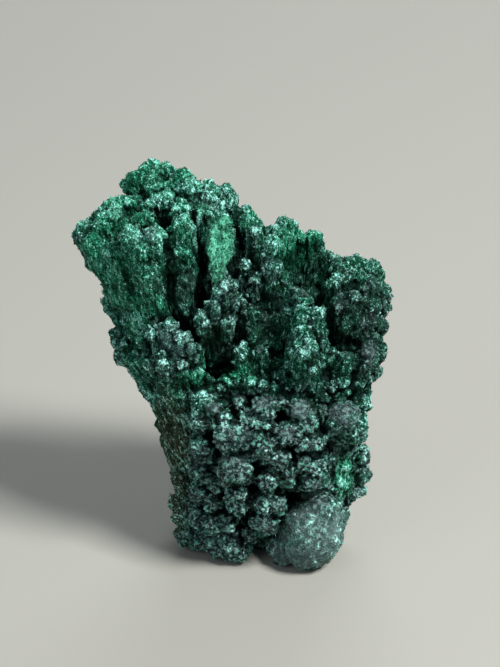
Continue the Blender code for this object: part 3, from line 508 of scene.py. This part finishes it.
def nearest_bundle(points, rows):
    """Distance to the skin of the nearest bundle, the way out of it, its number and the share along it.
    The leaf comes last and has the number after the last bundle."""
    best = np.full(len(points), 1e9)
    out = np.zeros_like(points)
    which = np.zeros(len(points), np.int64)
    along = np.zeros(len(points))
    for index, (foot, tip, foot_radius, tip_radius) in enumerate(rows):
        line = tip - foot
        share = np.clip((points - foot) @ line / (line @ line), 0.0, 1.0)
        off = points - foot - share[:, None] * line
        far = np.linalg.norm(off, axis=1)
        gap = far - (foot_radius + (tip_radius - foot_radius) * share)
        nearer = gap < best
        best[nearer] = gap[nearer]
        out[nearer] = off[nearer] / np.maximum(far[nearer], 1e-9)[:, None]
        which[nearer] = index
        along[nearer] = share[nearer]
    gap, way = nearest_leaf(points)
    nearer = gap < best
    best[nearer] = gap[nearer]
    out[nearer] = way[nearer]
    which[nearer] = len(rows)
    return best, out, which, along


def bent(points):
    """Points pushed about by smooth noise, so that what is read there comes out uneven."""
    moved = points.copy()
    for size, reach in ((1.9, 0.4), (0.8, 0.2)):
        for axis in range(3):
            moved[:, axis] += reach * noise_at(points, size, 13.0 * axis + size)
    return moved


def noise_at(points, size, shift=0.0):
    """Smooth noise, -1 to 1, with features of about the given size."""
    move = Vector((shift, shift, shift))
    scaled = points / size
    return np.array([noise.noise(Vector(p) + move) for p in scaled])


def domes_at(points, size, shift=0.0):
    """Rounded domes that meet in creases: 1 on top of each, 0 in the creases; and the tone of each dome."""
    move = Vector((shift, shift, shift))
    scaled = points / size
    high = np.empty(len(points))
    tone = np.empty(len(points))
    for index, p in enumerate(scaled):
        near, spots = noise.voronoi(Vector(p) + move)
        crease = min(1.0, (near[1] - near[0]) * 3.0)
        high[index] = max(0.0, 1.0 - near[0] ** 2) * (0.35 + 0.65 * crease)
        spot = spots[0]
        tone[index] = (math.sin(spot[0] * 12.9898 + spot[1] * 78.233 + spot[2] * 37.719) * 43758.5453) % 1.0
    return high, tone


def lumps_at(points, normals):
    """How far the listed small lumps stand out, and how deep the crease around each is."""
    high = np.zeros(len(points))
    crease = np.zeros(len(points))
    for far, height in ovals(LUMPS, points, noise_at(points, 0.5, 17.0) * 0.32):
        high = np.maximum(high, height * np.sqrt(np.maximum(0.0, 1.0 - far ** 2)))
        crease = np.maximum(crease, 0.65 * height * np.exp(-((far - 1.15) / 0.2) ** 2))
    show = step(-0.1, 0.3, to_camera(normals))
    return high * show, crease * show * np.clip(1.0 - high / 0.12, 0.0, 1.0)


def arrays(mesh):
    """Corner points in millimetres and the triangles of a triangulated mesh."""
    points = np.empty(len(mesh.vertices) * 3)
    mesh.vertices.foreach_get("co", points)
    faces = np.empty(len(mesh.polygons) * 3, np.int64)
    mesh.polygons.foreach_get("vertices", faces)
    return points.reshape(-1, 3) / MM, faces.reshape(-1, 3)


def corner_normals(points, faces):
    """Area-weighted normals at the corners."""
    flat = np.cross(points[faces[:, 1]] - points[faces[:, 0]], points[faces[:, 2]] - points[faces[:, 0]])
    total = np.zeros_like(points)
    for k in range(3):
        for axis in range(3):
            total[:, axis] += np.bincount(faces[:, k], flat[:, axis], len(points))
    return unit(total)


def relax(points, faces, rounds, inward=0.55, outward=-0.57):
    """Rounds off facets without shrinking the form: alternate steps in and out."""
    edges = np.vstack((faces[:, :2], faces[:, 1:], faces[:, ::2]))
    count = np.bincount(edges.ravel(), minlength=len(points))[:, None]
    for turn in range(rounds * 2):
        total = np.zeros_like(points)
        for axis in range(3):
            total[:, axis] += np.bincount(edges[:, 0], points[edges[:, 1], axis], len(points))
            total[:, axis] += np.bincount(edges[:, 1], points[edges[:, 0], axis], len(points))
        share = inward if turn % 2 == 0 else outward
        points = points + share * (total / count - points)
    return points


def openness(points, normals, tree, rays, reach, rng):
    """Share of rays over each point's hemisphere that get away: 0 deep in a gap, 1 in the open. It sets where
    the colour takes painted shade.
    """
    found = np.empty(len(points))
    fan = unit(rng.normal(size=(rays, 3)))
    for index in range(len(points)):
        normal = normals[index]
        start = Vector(points[index] + normal * 0.03)
        free = 0
        for way in fan:
            aim = way + normal * 1.02
            if tree.ray_cast(start, Vector(aim).normalized(), reach)[0] is None:
                free += 1
        found[index] = free / rays
    return found


def add_values(mesh, values):
    """A number or a vector for each corner point, under its name."""
    for key, value in values.items():
        if value.ndim == 2:
            layer = mesh.attributes.new(key, "FLOAT_VECTOR", "POINT")
            layer.data.foreach_set("vector", value.astype(np.float32).ravel())
        else:
            layer = mesh.attributes.new(key, "FLOAT", "POINT")
            layer.data.foreach_set("value", value.astype(np.float32))


def placed(name, data):
    """A new object in the scene."""
    item = bpy.data.objects.new(name, data)
    bpy.context.scene.collection.objects.link(item)
    return item


def new_mesh(name, points, faces, values, uv):
    """A flat-shaded mesh object from points in millimetres, with an attribute for each value."""
    mesh = bpy.data.meshes.new(name)
    mesh.vertices.add(len(points))
    mesh.vertices.foreach_set("co", (points * MM).astype(np.float32).ravel())
    mesh.loops.add(len(faces) * 3)
    mesh.loops.foreach_set("vertex_index", faces.astype(np.int32).ravel())
    mesh.polygons.add(len(faces))
    mesh.polygons.foreach_set("loop_start", np.arange(len(faces), dtype=np.int32) * 3)
    mesh.polygons.foreach_set("use_smooth", np.full(len(faces), False))
    add_values(mesh, values)
    layer = mesh.uv_layers.new(name="OFBake")
    layer.data.foreach_set("uv", uv.astype(np.float32).ravel())
    mesh.update(calc_edges=True)
    mesh.validate()
    return placed(name, mesh)


def scatter(points, faces, cell, most, rng, weight):
    """Points spread over the triangles, one for each small cube of space that the surface passes through."""
    a, b, c = points[faces[:, 0]], points[faces[:, 1]], points[faces[:, 2]]
    area = np.linalg.norm(np.cross(b - a, c - a), axis=1) * 0.5
    area = area * weight[faces].mean(axis=1)
    count = int(most * 3.2)
    pick = rng.choice(len(faces), count, p=area / area.sum())
    u = rng.random(count)
    v = rng.random(count)
    fold = u + v > 1.0
    u[fold] = 1.0 - u[fold]
    v[fold] = 1.0 - v[fold]
    share = np.column_stack((1.0 - u - v, u, v))
    places = (points[faces[pick]] * share[:, :, None]).sum(axis=1)
    key = np.floor(places / cell).astype(np.int64)
    key = (key[:, 0] * 100003 + key[:, 1]) * 100003 + key[:, 2]
    first = np.unique(key, return_index=True)[1]
    rng.shuffle(first)
    first = first[:most]
    return pick[first], share[first], places[first]


def carried(values, faces, pick, share):
    """Corner values blended at scattered points."""
    return (values[faces[pick]] * (share if values.ndim == 1 else share[:, :, None])).sum(axis=1)


def turned(axis, spin):
    """Rotation matrices whose third column is axis, spun about it."""
    side = np.where(np.abs(axis[:, 2:3]) < 0.9, np.array([[0.0, 0.0, 1.0]]), np.array([[1.0, 0.0, 0.0]]))
    first = unit(np.cross(side, axis))
    second = np.cross(axis, first)
    c = np.cos(spin)[:, None]
    s = np.sin(spin)[:, None]
    return np.stack((first * c + second * s, second * c - first * s, axis), axis=2)


def planted(name, form, places, frames, sizes, values, material, rng, wobble):
    """Copies of one small closed form as plain mesh, in pieces under the triangle limit.
    form: corner points, faces, and a place in the unit square for each corner."""
    shape, faces, flat = form
    most = PIECE_TRIANGLES // len(faces)
    made = []
    parts = max(1, math.ceil(len(places) / most))
    for part in range(parts):
        use = np.arange(part, len(places), parts)
        local = shape[None] * sizes[use][:, None, :]
        if wobble:
            local = local * rng.uniform(1.0 - wobble, 1.0 + wobble, (len(use), len(shape), 1))
        points = np.einsum("nij,nkj->nki", frames[use], local) + places[use][:, None, :]
        points[:, :, 2] = np.maximum(points[:, :, 2], 0.01)
        n = len(use)
        all_faces = faces[None] + (np.arange(n) * len(shape))[:, None, None]
        own = {key: np.repeat(value[use], len(shape), axis=0) for key, value in values.items()}
        grid = math.ceil(math.sqrt(n))
        cell = np.column_stack((np.arange(n) % grid, np.arange(n) // grid)) / grid
        spot = flat[faces.ravel()] * 0.8 + 0.1
        uv = cell[:, None, :] + spot[None] / grid
        corners = points.reshape(-1, 3)
        sides = all_faces.reshape(-1, 3)
        item = new_mesh(f"{name}_{part + 1}", corners, sides, own, uv.reshape(-1, 2))
        item.data.materials.append(material)
        made.append(item)
    return made


def needle_form():
    """A closed three-sided needle of unit height and radius."""
    angle = np.arange(3) * 2.0 * math.pi / 3.0
    shape = np.vstack((np.column_stack((np.cos(angle), np.sin(angle), np.zeros(3))), [[0.0, 0.0, 1.0]]))
    faces = np.array([[0, 2, 1], [0, 1, 3], [1, 2, 3], [2, 0, 3]])
    flat = np.array([[0.0, 0.0], [0.5, 0.2], [1.0, 0.0], [0.5, 1.0]])
    return shape, faces, flat


def sliver_form():
    """A closed lath that lies along the surface: a point at each end and a ridge between."""
    shape = np.array([
        [0.0, 0.0, 0.0], [1.0, 0.0, 0.45], [-0.6, 0.8, 0.45], [-0.6, -0.8, 0.45], [0.0, 0.0, 1.0],
    ])
    faces = np.array([[0, 2, 1], [0, 3, 2], [0, 1, 3], [4, 1, 2], [4, 2, 3], [4, 3, 1]])
    flat = np.array([[0.5, 0.0], [0.9, 0.45], [0.5, 0.5], [0.1, 0.45], [0.5, 1.0]])
    return shape, faces, flat


def grain_form():
    """A small angular grain of eight facets."""
    ring = [[1.0, 0.0, 0.0], [0.0, 1.0, 0.0], [-1.0, 0.0, 0.0], [0.0, -1.0, 0.0]]
    shape = np.array(ring + [[0.0, 0.0, 1.0], [0.0, 0.0, -1.0]])
    faces = []
    for k in range(4):
        after = (k + 1) % 4
        faces.append([k, after, 4])
        faces.append([after, k, 5])
    flat = shape[:, :2] * 0.5 + 0.5
    return shape, np.array(faces), flat


# ---- materials
def attribute(tree, name, output="Fac"):
    """The value of a named attribute."""
    node = tree.nodes.new("ShaderNodeAttribute")
    node.attribute_name = name
    return node.outputs[output]


def ramp(tree, value, low, high):
    """Smooth step of a socket from 0 at low to 1 at high."""
    node = tree.nodes.new("ShaderNodeMapRange")
    node.interpolation_type = "SMOOTHSTEP"
    node.inputs["From Min"].default_value = low
    node.inputs["From Max"].default_value = high
    tree.links.new(value, node.inputs["Value"])
    return node.outputs["Result"]


def spotted(tree, where, size, low, high, detail=3.0):
    """0 to 1 spots of noise with features of the given size, in the unit of the places."""
    made = tree.nodes.new("ShaderNodeTexNoise")
    made.inputs["Scale"].default_value = 1.0 / size
    made.inputs["Detail"].default_value = detail
    made.inputs["Roughness"].default_value = 0.6
    tree.links.new(where, made.inputs["Vector"])
    return ramp(tree, made.outputs["Fac"], low, high)


def maths(tree, kind, a, b, clamp=False):
    """One sum on two values or sockets."""
    node = tree.nodes.new("ShaderNodeMath")
    node.operation = kind
    node.use_clamp = clamp
    for index, value in enumerate((a, b)):
        if isinstance(value, (int, float)):
            node.inputs[index].default_value = value
        else:
            tree.links.new(value, node.inputs[index])
    return node.outputs[0]


def blend(tree, share, a, b):
    """Colour a turning into colour b."""
    node = tree.nodes.new("ShaderNodeMix")
    node.data_type = "RGBA"
    node.clamp_factor = True
    tree.links.new(share, node.inputs["Factor"])
    for key, value in (("A", a), ("B", b)):
        target = [s for s in node.inputs if s.name == key and s.type == "RGBA"][0]
        if isinstance(value, tuple):
            target.default_value = (*value, 1.0)
        else:
            tree.links.new(value, target)
    return [s for s in node.outputs if s.type == "RGBA"][0]


def weighed(tree, start, *pairs):
    """A starting number plus each socket times its weight."""
    total = None
    for value, weight in pairs:
        part = maths(tree, "MULTIPLY", value, weight)
        total = maths(tree, "ADD", part, start if total is None else total)
    return total


def malachite(name, kind):
    """The stone's finish. kind: body, grain, needle or fibre.
    One tone runs from black-green gaps to white-mint flecks, and each zone has its own colours along it. The
    black-green of the gaps is painted shade, and the lit crests and pale tips are partly painted highlights."""
    made = bpy.data.materials.new(name)
    made.use_nodes = True
    tree = made.node_tree
    nodes, links = tree.nodes, tree.links
    times, mix = partial(maths, tree, "MULTIPLY"), partial(blend, tree)
    surface = nodes["Principled BSDF"]
    where = nodes.new("ShaderNodeTexCoord").outputs["Object"]
    strand = attribute(tree, "strand", "Vector")
    pale, crest, tint, shade = [attribute(tree, key) for key in ("pale", "crest", "tint", "shade")]
    calm, open_air, slate, emerald = [attribute(tree, key) for key in ("calm", "open", "slate", "emerald")]
    olive, dust_and_light, worn, leaf = [attribute(tree, key) for key in ("olive", "dust_and_light", "worn", "leaf")]

    clouds = spotted(tree, where, 0.0013, 0.34, 0.66)
    grit = spotted(tree, strand, 0.26, 0.39, 0.61, 2.0)
    fine = weighed(tree, 1.0, (calm, -0.65))
    dust = times(fine, spotted(tree, where, 0.00014, 0.42, 0.6, 1.0))
    pits = spotted(tree, where, 0.00021, 0.36, 0.46, 1.0)
    blots = times(calm, spotted(tree, where, 0.00046, 0.56, 0.65, 1.0))
    blots = times(blots, weighed(tree, 1.0, (dust_and_light, -1.2)), True)
    # crest and pale lift the tone, partly as painted highlights; shade lowers it, partly as painted shade
    common = [(grit, 0.68), (crest, 0.45), (pale, 0.5), (clouds, 0.15)]
    common.extend([(shade, -0.36), (blots, 0.2), (calm, -0.08)])
    common.append((times(calm, grit), 0.25))
    common.append((times(dust_and_light, weighed(tree, -0.45, (grit, 1.0))), -0.4))
    common.append((times(olive, weighed(tree, -0.65, (grit, 1.0))), 0.5))
    if kind == "body":
        tone = weighed(tree, TONE + 0.2, (dust, 0.5), *common)
    else:
        tone = weighed(tree, TONE, (dust, 0.4), (times(fine, tint), 0.75), *common)
        slate = weighed(tree, -0.25, (slate, 1.0), (tint, 0.5))
    middle = mix(emerald, GREEN, BRIGHT)
    middle = mix(slate, middle, MID_SLATE)
    dark = mix(slate, DARK_GREEN, DARK_SLATE)
    light = mix(emerald, GREY_MINT, LIGHT_EMERALD)
    light = mix(slate, light, GREY)
    light = mix(times(olive, 0.7), light, OLIVE_PALE)
    colour = mix(ramp(tree, tone, 0.0, 0.6), dark, middle)
    colour = mix(times(olive, 0.8), colour, OLIVE_DARK)
    colour = mix(times(dust_and_light, 0.35), colour, GREY)
    # the palest tones turn light and then white-mint: partly painted highlights
    colour = mix(ramp(tree, tone, 0.53, 0.94), colour, light)
    colour = mix(ramp(tree, tone, 0.94, 1.22), colour, WHITE_MINT)
    colour = mix(times(blots, 0.7), colour, MINT_BLOT)
    scuffed = mix(grit, WORN_DARK, WORN_PALE)
    colour = mix(times(worn, 0.8), colour, scuffed)
    flake = weighed(tree, -0.35, (grit, 0.7), (dust, 0.6), (tint, 0.5), (clouds, 0.15), (pale, 0.6))
    flake = mix(flake, LEAF_DARK, LEAF_PALE)
    colour = mix(times(leaf, 0.9), colour, flake)
    # painted shade: gaps with little open air turn black-green, and the fine pits break it into dark specks
    open_air = times(open_air, weighed(tree, 0.25, (pits, 0.75), (calm, 0.25)))
    deep = maths(tree, "SUBTRACT", 1.0, open_air)
    colour = mix(times(deep, 0.95), colour, SHADE_BLACK_GREEN)
    links.new(colour, surface.inputs["Base Color"])
    surface.inputs["Roughness"].default_value = 0.45 if kind == "fibre" else 0.58
    surface.inputs["Specular IOR Level"].default_value = 0.17
    surface.inputs["Specular Tint"].default_value = (0.5, 1.0, 0.8, 1.0)
    if kind == "body":
        bump = nodes.new("ShaderNodeBump")
        bump.inputs["Strength"].default_value = 0.8
        bump.inputs["Distance"].default_value = 0.00010
        links.new(grit, bump.inputs["Height"])
        links.new(bump.outputs["Normal"], surface.inputs["Normal"])
    return made


# ---- the stone itself
def split(mesh, edges, cuts):
    """The edges cut into equal parts and the faces cut to match."""
    bmesh.ops.subdivide_edges(mesh, edges=edges, cuts=cuts, use_grid_fill=True)
    bmesh.ops.triangulate(mesh, faces=mesh.faces)


def stone_body(node):
    """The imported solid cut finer, most of all on the front."""
    mesh = bmesh.new()
    mesh.from_mesh(node.data)
    bmesh.ops.remove_doubles(mesh, verts=mesh.verts, dist=1e-6)
    data = bpy.data.meshes.new("stone_body")
    mesh.to_mesh(data)
    mesh.free()
    body = placed("stone_body", data)
    for name in [layer.name for layer in data.uv_layers]:
        data.uv_layers.remove(data.uv_layers[name])
    data.uv_layers.new(name="OFBake")
    bpy.context.view_layer.objects.active = body
    body.select_set(True)
    bpy.ops.object.mode_set(mode="EDIT")
    bpy.ops.mesh.select_all(action="SELECT")
    bpy.ops.uv.smart_project(angle_limit=1.25, island_margin=0.001)
    bpy.ops.object.mode_set(mode="OBJECT")
    body.select_set(False)
    mesh = bmesh.new()
    mesh.from_mesh(data)
    split(mesh, mesh.edges, 2)
    mesh.normal_update()
    view = Vector((0.0, -math.cos(LEAN), math.sin(LEAN)))
    front = [edge for edge in mesh.edges if all(face.normal.dot(view) > 0.1 for face in edge.link_faces)]
    split(mesh, front, 1)
    mesh.to_mesh(data)
    mesh.free()
    return body


rng = np.random.default_rng(SEED)
body = stone_body(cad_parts[NODE])
points, faces = arrays(body.data)
foot = points[:, 2] < 0.001
points = relax(points, faces, 5)
points[foot, 2] = 0.0
rows = bundles()
normals = corner_normals(points, faces)
way, ray, usual = growth(points)
bend = (bent(points) - points) * (1.0 - 0.75 * step(0.0, 0.6, (normals * way).sum(axis=1)))[:, None]
for turn in range(3):
    gap, out, which, share = nearest_bundle(points + bend, rows)
    hold = (1.0 - step(0.45, 0.9, np.abs(gap + INSET))) * step(0.2, 1.0, points[:, 2])
    points = points - out * (np.clip(gap + INSET, -0.3, 0.3) * hold)[:, None]
    points = relax(points, faces, 1, 0.45, -0.35)
    points[foot, 2] = 0.0
covered = np.abs(gap) < 0.6
normals = corner_normals(points, faces)
way, ray, usual = growth(points)
facing = (normals * way).sum(axis=1)
tip = step(0.1, 0.62, facing)
smooth = patches(SMOOTH, points, normals)
slate = patches(SLATE_ZONE, points, normals, 0.35)
velvet = step(-0.45, 0.25, facing + noise_at(points, 1.3, 31.0) * 0.35 + 0.45 * slate)
velvet = velvet * (1.0 - 0.85 * patches(FIBROUS, points, normals))

# flutes run along each bundle; domes crowd on the tips
around = out * 2.2 + (which % 97)[:, None] * 3.17
loose = unit(ray) * 12.0
fluted = np.where(covered[:, None], around + way * share[:, None] * 0.6, loose / 0.45)
flute = 1.0 - np.abs(noise_at(fluted, 1.0)) * 2.4
thin = 1.0 - np.abs(noise_at(fluted, 0.42, 5.0)) * 2.0
streaked = patches(STREAKED, points, normals, 0.4)
hollow = patches(HOLLOWS, points, normals, 0.35)
laid = fanned(ray, usual, 0.34 + 0.31 * slate)
big, big_tone = domes_at(laid, BIG_DOME)
small, small_tone = domes_at(laid, SMALL_DOME, 7.0)
lump, moat = lumps_at(points, normals)
calm = patches(CALM, points, normals, 0.25)
behind = step(-0.25, 0.35, -to_camera(normals))
broad, broad_tone = domes_at(fanned(ray, usual, 0.45), BROAD_DOME, 11.0)
rough = noise_at(points, 0.7, 3.0)
lumpy = 0.3 + 0.7 * velvet
worn = patches(WORN, points, normals)
broken = step(-0.15, 0.3, noise_at(points, 0.34, 51.0))
big_rise = big * BIG_HEIGHT * (1.0 - 0.6 * streaked)
small_rise = small * SMALL_HEIGHT * (1.0 - 0.55 * calm) * (1.0 - 0.4 * streaked)
rise = lumpy * (big_rise + small_rise - 0.24)
rise = rise + rough * 0.1 - HOLLOW_DEPTH * hollow + behind * (broad * BROAD_HEIGHT - 0.3)
even = patches(EVEN, points, normals, 0.4)
rise = rise * (1.0 - 0.7 * worn) * (1.0 - 0.5 * even) + LUMP_SHARE * lump - moat
rise = rise + np.maximum(1.0 - tip, 0.7 * streaked) * (flute * FLUTE_HEIGHT + thin * THIN_HEIGHT - 0.09)
# crest: dome tops and fluted ridges get a lighter tone, a painted highlight, and the moats round the lumps a
# darker one, painted shade
crest = np.clip(lumpy * (big * 0.65 + small * 0.45) + (1.0 - velvet) * (0.4 * flute + 0.3 * thin), 0.0, 1.0)
crest = np.clip(crest * (1.0 - 0.35 * behind) + 0.45 * behind * broad - moat * 2.0, 0.0, 1.0)
leaf = patches(LEAF_FACE, points, normals, 0.15) * (which == len(rows))
rise = rise * (1.0 - leaf) + leaf * leaf_relief(points)
rise = rise * (1.0 - 0.65 * smooth)
rise[foot] = 0.0
points = points + normals * rise[:, None]
points[foot, 2] = 0.0
points[~foot, 2] = np.maximum(points[~foot, 2], 0.02)
normals = corner_normals(points, faces)
tree = BVHTree.FromPolygons([Vector(p) for p in points], [list(map(int, f)) for f in faces])
# how open each point lies, far and near; gaps with little open air get painted shade in their colour
far_open = openness(points, normals, tree, 10, 4.0, rng)
near_open = openness(points, normals, tree, 10, 1.0, rng)

# pale: mint tips and lit tip crests, partly painted highlights, with random pale flecks and the boss's dots
mint = patches(MINT, points, normals) * step(0.1, 0.45, far_open) * (0.35 + 0.65 * broken)
high = tip * step(0.15, 0.8, crest)
vivid = patches(EMERALD, points, normals, 0.4)
shifts = np.clip(0.5 + noise_at(points, 1.6, 41.0) * 0.7 + noise_at(laid, 0.5, 43.0) * 0.5, 0.0, 1.0)
strand = fanned(ray, usual, 0.3 + 0.3 * slate)
fleck = step(0.8, 0.95, small_tone + 0.2 * mint) * step(0.1, 0.6, small)
dots = smooth * step(0.84, 0.9, small_tone) * step(0.45, 0.75, small)
speckled = 0.75 * mint + 0.15 * high + 0.45 * fleck * (0.3 + high) + 1.2 * dots + np.maximum(vivid - 0.9, 0.0)
# painted shade: the colour darkens where little open air reaches and in the listed hollows
in_air = step(0.05, 0.62, far_open) * step(0.1, 0.8, near_open) * (1.0 - 0.65 * hollow)
greener = vivid + 0.3 * behind * (1.0 - broad_tone) + 0.75 * (1.0 - velvet) * (1.0 - slate) * shifts
greyer = slate + behind * (broad_tone - 0.35) * 0.9 + (big_tone - 0.55) * 0.6 + 0.5 * velvet * (shifts - 0.35)
surface = {
    "pale": np.clip(speckled, 0.0, 1.4),
    "shade": patches(SHADED, points, normals, 0.4),
    "open": np.maximum(in_air, 0.8 * patches(SHADE_LIFTED_GAPS, points, normals)),
    "worn": worn * step(0.2, 0.6, crest),
    "emerald": np.clip(greener, 0.0, 1.0),
    "calm": calm,
    "slate": (1.0 - 0.85 * vivid) * np.clip(greyer, 0.0, 1.0),
    "dust_and_light": patches(DUST_AND_LIGHT, points, normals),
    "olive": patches(OLIVE, points, normals),
    "leaf": leaf,
    "crest": np.clip(crest * 0.8 + big_tone * 0.2, 0.0, 1.0),
    "strand": strand,
    "tint": np.full(len(points), 0.3),
}
body.data.vertices.foreach_set("co", (points * MM).astype(np.float32).ravel())
body.data.polygons.foreach_set("use_smooth", np.full(len(faces), True))
add_values(body.data, surface)
body.data.materials.clear()
body.data.materials.append(malachite("stone", "body"))
body.data.update()

# ---- grains, needles and fibres
seen = step(0.02, 0.3, far_open)
front = 0.55 + 0.45 * step(-0.3, 0.3, to_camera(normals))


def grown(kind, form, pick, share, places, axis, sizes, wobble=0.0):
    """One kind of growth set on the body, with the body's own values at each place and a tint for each."""
    frames = turned(axis, rng.uniform(0.0, 6.28, len(pick)))
    own = {key: carried(value, faces, pick, share) for key, value in surface.items()}
    own["tint"] = rng.random(len(pick))
    return planted(kind + "s", form, places, frames, sizes, own, malachite(kind, kind), rng, wobble)


def strayed(axis, reach):
    """Directions knocked about by chance."""
    return unit(axis + rng.normal(0.0, reach, axis.shape))


def grow_grains():
    """Angular grains over the tips."""
    weight = seen * front * (0.1 + velvet) * (0.3 + crest)
    weight = weight * (1.0 - 0.5 * worn) * (1.0 - 0.85 * leaf) * (1.0 - 0.6 * smooth) * (1.0 - 0.3 * calm)
    pick, share, places = scatter(points, faces, GRAIN_CELL, GRAINS, rng, weight)
    axis = unit(carried(way, faces, pick, share) + 0.6 * carried(normals, faces, pick, share))
    axis = strayed(axis, 0.35)
    size = rng.uniform(*GRAIN_RADIUS, len(pick))
    wide = size * rng.uniform(0.6, 1.0, len(pick))
    tall = size * rng.uniform(0.9, 1.9, len(pick))
    sizes = np.column_stack((size, wide, tall))
    return grown("grain", grain_form(), pick, share, places, axis, sizes, 0.30)


def grow_needles():
    """Short needles that stand on the tips."""
    weight = seen * front * (0.15 + velvet) * (0.4 + crest)
    weight = weight * (1.0 - 0.4 * worn) * (1.0 - 0.85 * leaf) * (1.0 - 0.35 * calm)
    pick, share, places = scatter(points, faces, NEEDLE_CELL, NEEDLES, rng, weight)
    axis = unit(carried(way, faces, pick, share) + 0.7 * carried(normals, faces, pick, share))
    axis = strayed(axis, 0.3)
    high = rng.uniform(*NEEDLE_LENGTH, len(pick)) * (1.0 - 0.35 * carried(calm, faces, pick, share))
    high = high * (1.0 - 0.5 * carried(smooth, faces, pick, share))
    thick = rng.uniform(*NEEDLE_RADIUS, len(pick))
    sizes = np.column_stack((thick, thick, high))
    return grown("needle", needle_form(), pick, share, places - axis * 0.03, axis, sizes)


def grow_fibres():
    """Long fibres that lie along the flanks."""
    weight = seen * front * (1.01 - velvet + 0.8 * leaf)
    pick, share, places = scatter(points, faces, FIBRE_CELL, FIBRES, rng, weight)
    normal = carried(normals, faces, pick, share)
    along = carried(way, faces, pick, share)
    along = unit(along - normal * (along * normal).sum(axis=1)[:, None])
    axis = unit(along + normal * rng.uniform(0.0, 0.07, len(pick))[:, None])
    axis = strayed(axis, 0.08)
    high = rng.uniform(*FIBRE_LENGTH, len(pick))
    thick = rng.uniform(*FIBRE_RADIUS, len(pick))
    sizes = np.column_stack((thick, thick, high))
    places = places - axis * (high * 0.45)[:, None]
    return grown("fibre", sliver_form(), pick, share, places, axis, sizes)


growths = grow_grains() + grow_needles() + grow_fibres()
for piece in [body] + growths:
    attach(piece, "root")
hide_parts(NODE)

# ---- floor, lights and camera
floor_mesh = bpy.data.meshes.new("floor")
floor_corners = [(-0.6, -0.6, 0.0), (0.6, -0.6, 0.0), (0.6, 1.2, 0.0), (-0.6, 1.2, 0.0)]
floor_mesh.from_pydata(floor_corners, [], [(0, 1, 2, 3)])
floor = placed("floor", floor_mesh)
floor.location.z = -0.00002
plain = bpy.data.materials.new("floor")
plain.use_nodes = True
plain_surface = plain.node_tree.nodes["Principled BSDF"].inputs
plain_surface["Base Color"].default_value = (0.36, 0.36, 0.325, 1.0)
plain_surface["Roughness"].default_value = 0.8
floor_mesh.materials.append(plain)

world = bpy.data.worlds.new("studio")
world.use_nodes = True
sky = world.node_tree.nodes["Background"].inputs
sky["Color"].default_value = (0.86, 0.92, 1.0, 1.0)
sky["Strength"].default_value = 0.16
bpy.context.scene.world = world


def area_light(name, place, size, power, colour):
    """A square soft light that looks at the middle of the specimen."""
    data = bpy.data.lights.new(name, "AREA")
    data.size = size
    data.energy = power
    data.color = colour
    lamp = placed(name, data)
    lamp.location = place
    aim = Vector((0.0, 0.0, 0.017)) - Vector(place)
    lamp.rotation_euler = aim.to_track_quat("-Z", "Y").to_euler()


area_light("key", (0.20, -0.16, 0.36), 0.12, 2.8, (1.0, 0.985, 0.965))
area_light("fill", (-0.30, -0.30, 0.22), 0.30, 0.45, (0.90, 0.95, 1.0))
area_light("back", (0.05, 0.34, 0.26), 0.22, 0.7, (0.95, 0.98, 1.0))

DISTANCE = 0.22
FRAME_WIDTH = 0.05558
SENSOR = 36.0
target = Vector((-0.000667, 0.0, 0.01945))
camera_data = bpy.data.cameras.new("camera")
camera_data.sensor_width = SENSOR
camera_data.lens = SENSOR * DISTANCE / FRAME_WIDTH
camera = placed("camera", camera_data)
camera.location = target + Vector((0.0, -math.cos(LEAN), math.sin(LEAN))) * DISTANCE
camera.rotation_euler = (target - camera.location).to_track_quat("-Z", "Y").to_euler()
bpy.context.scene.camera = camera
bpy.context.scene.view_settings.view_transform = "Standard"
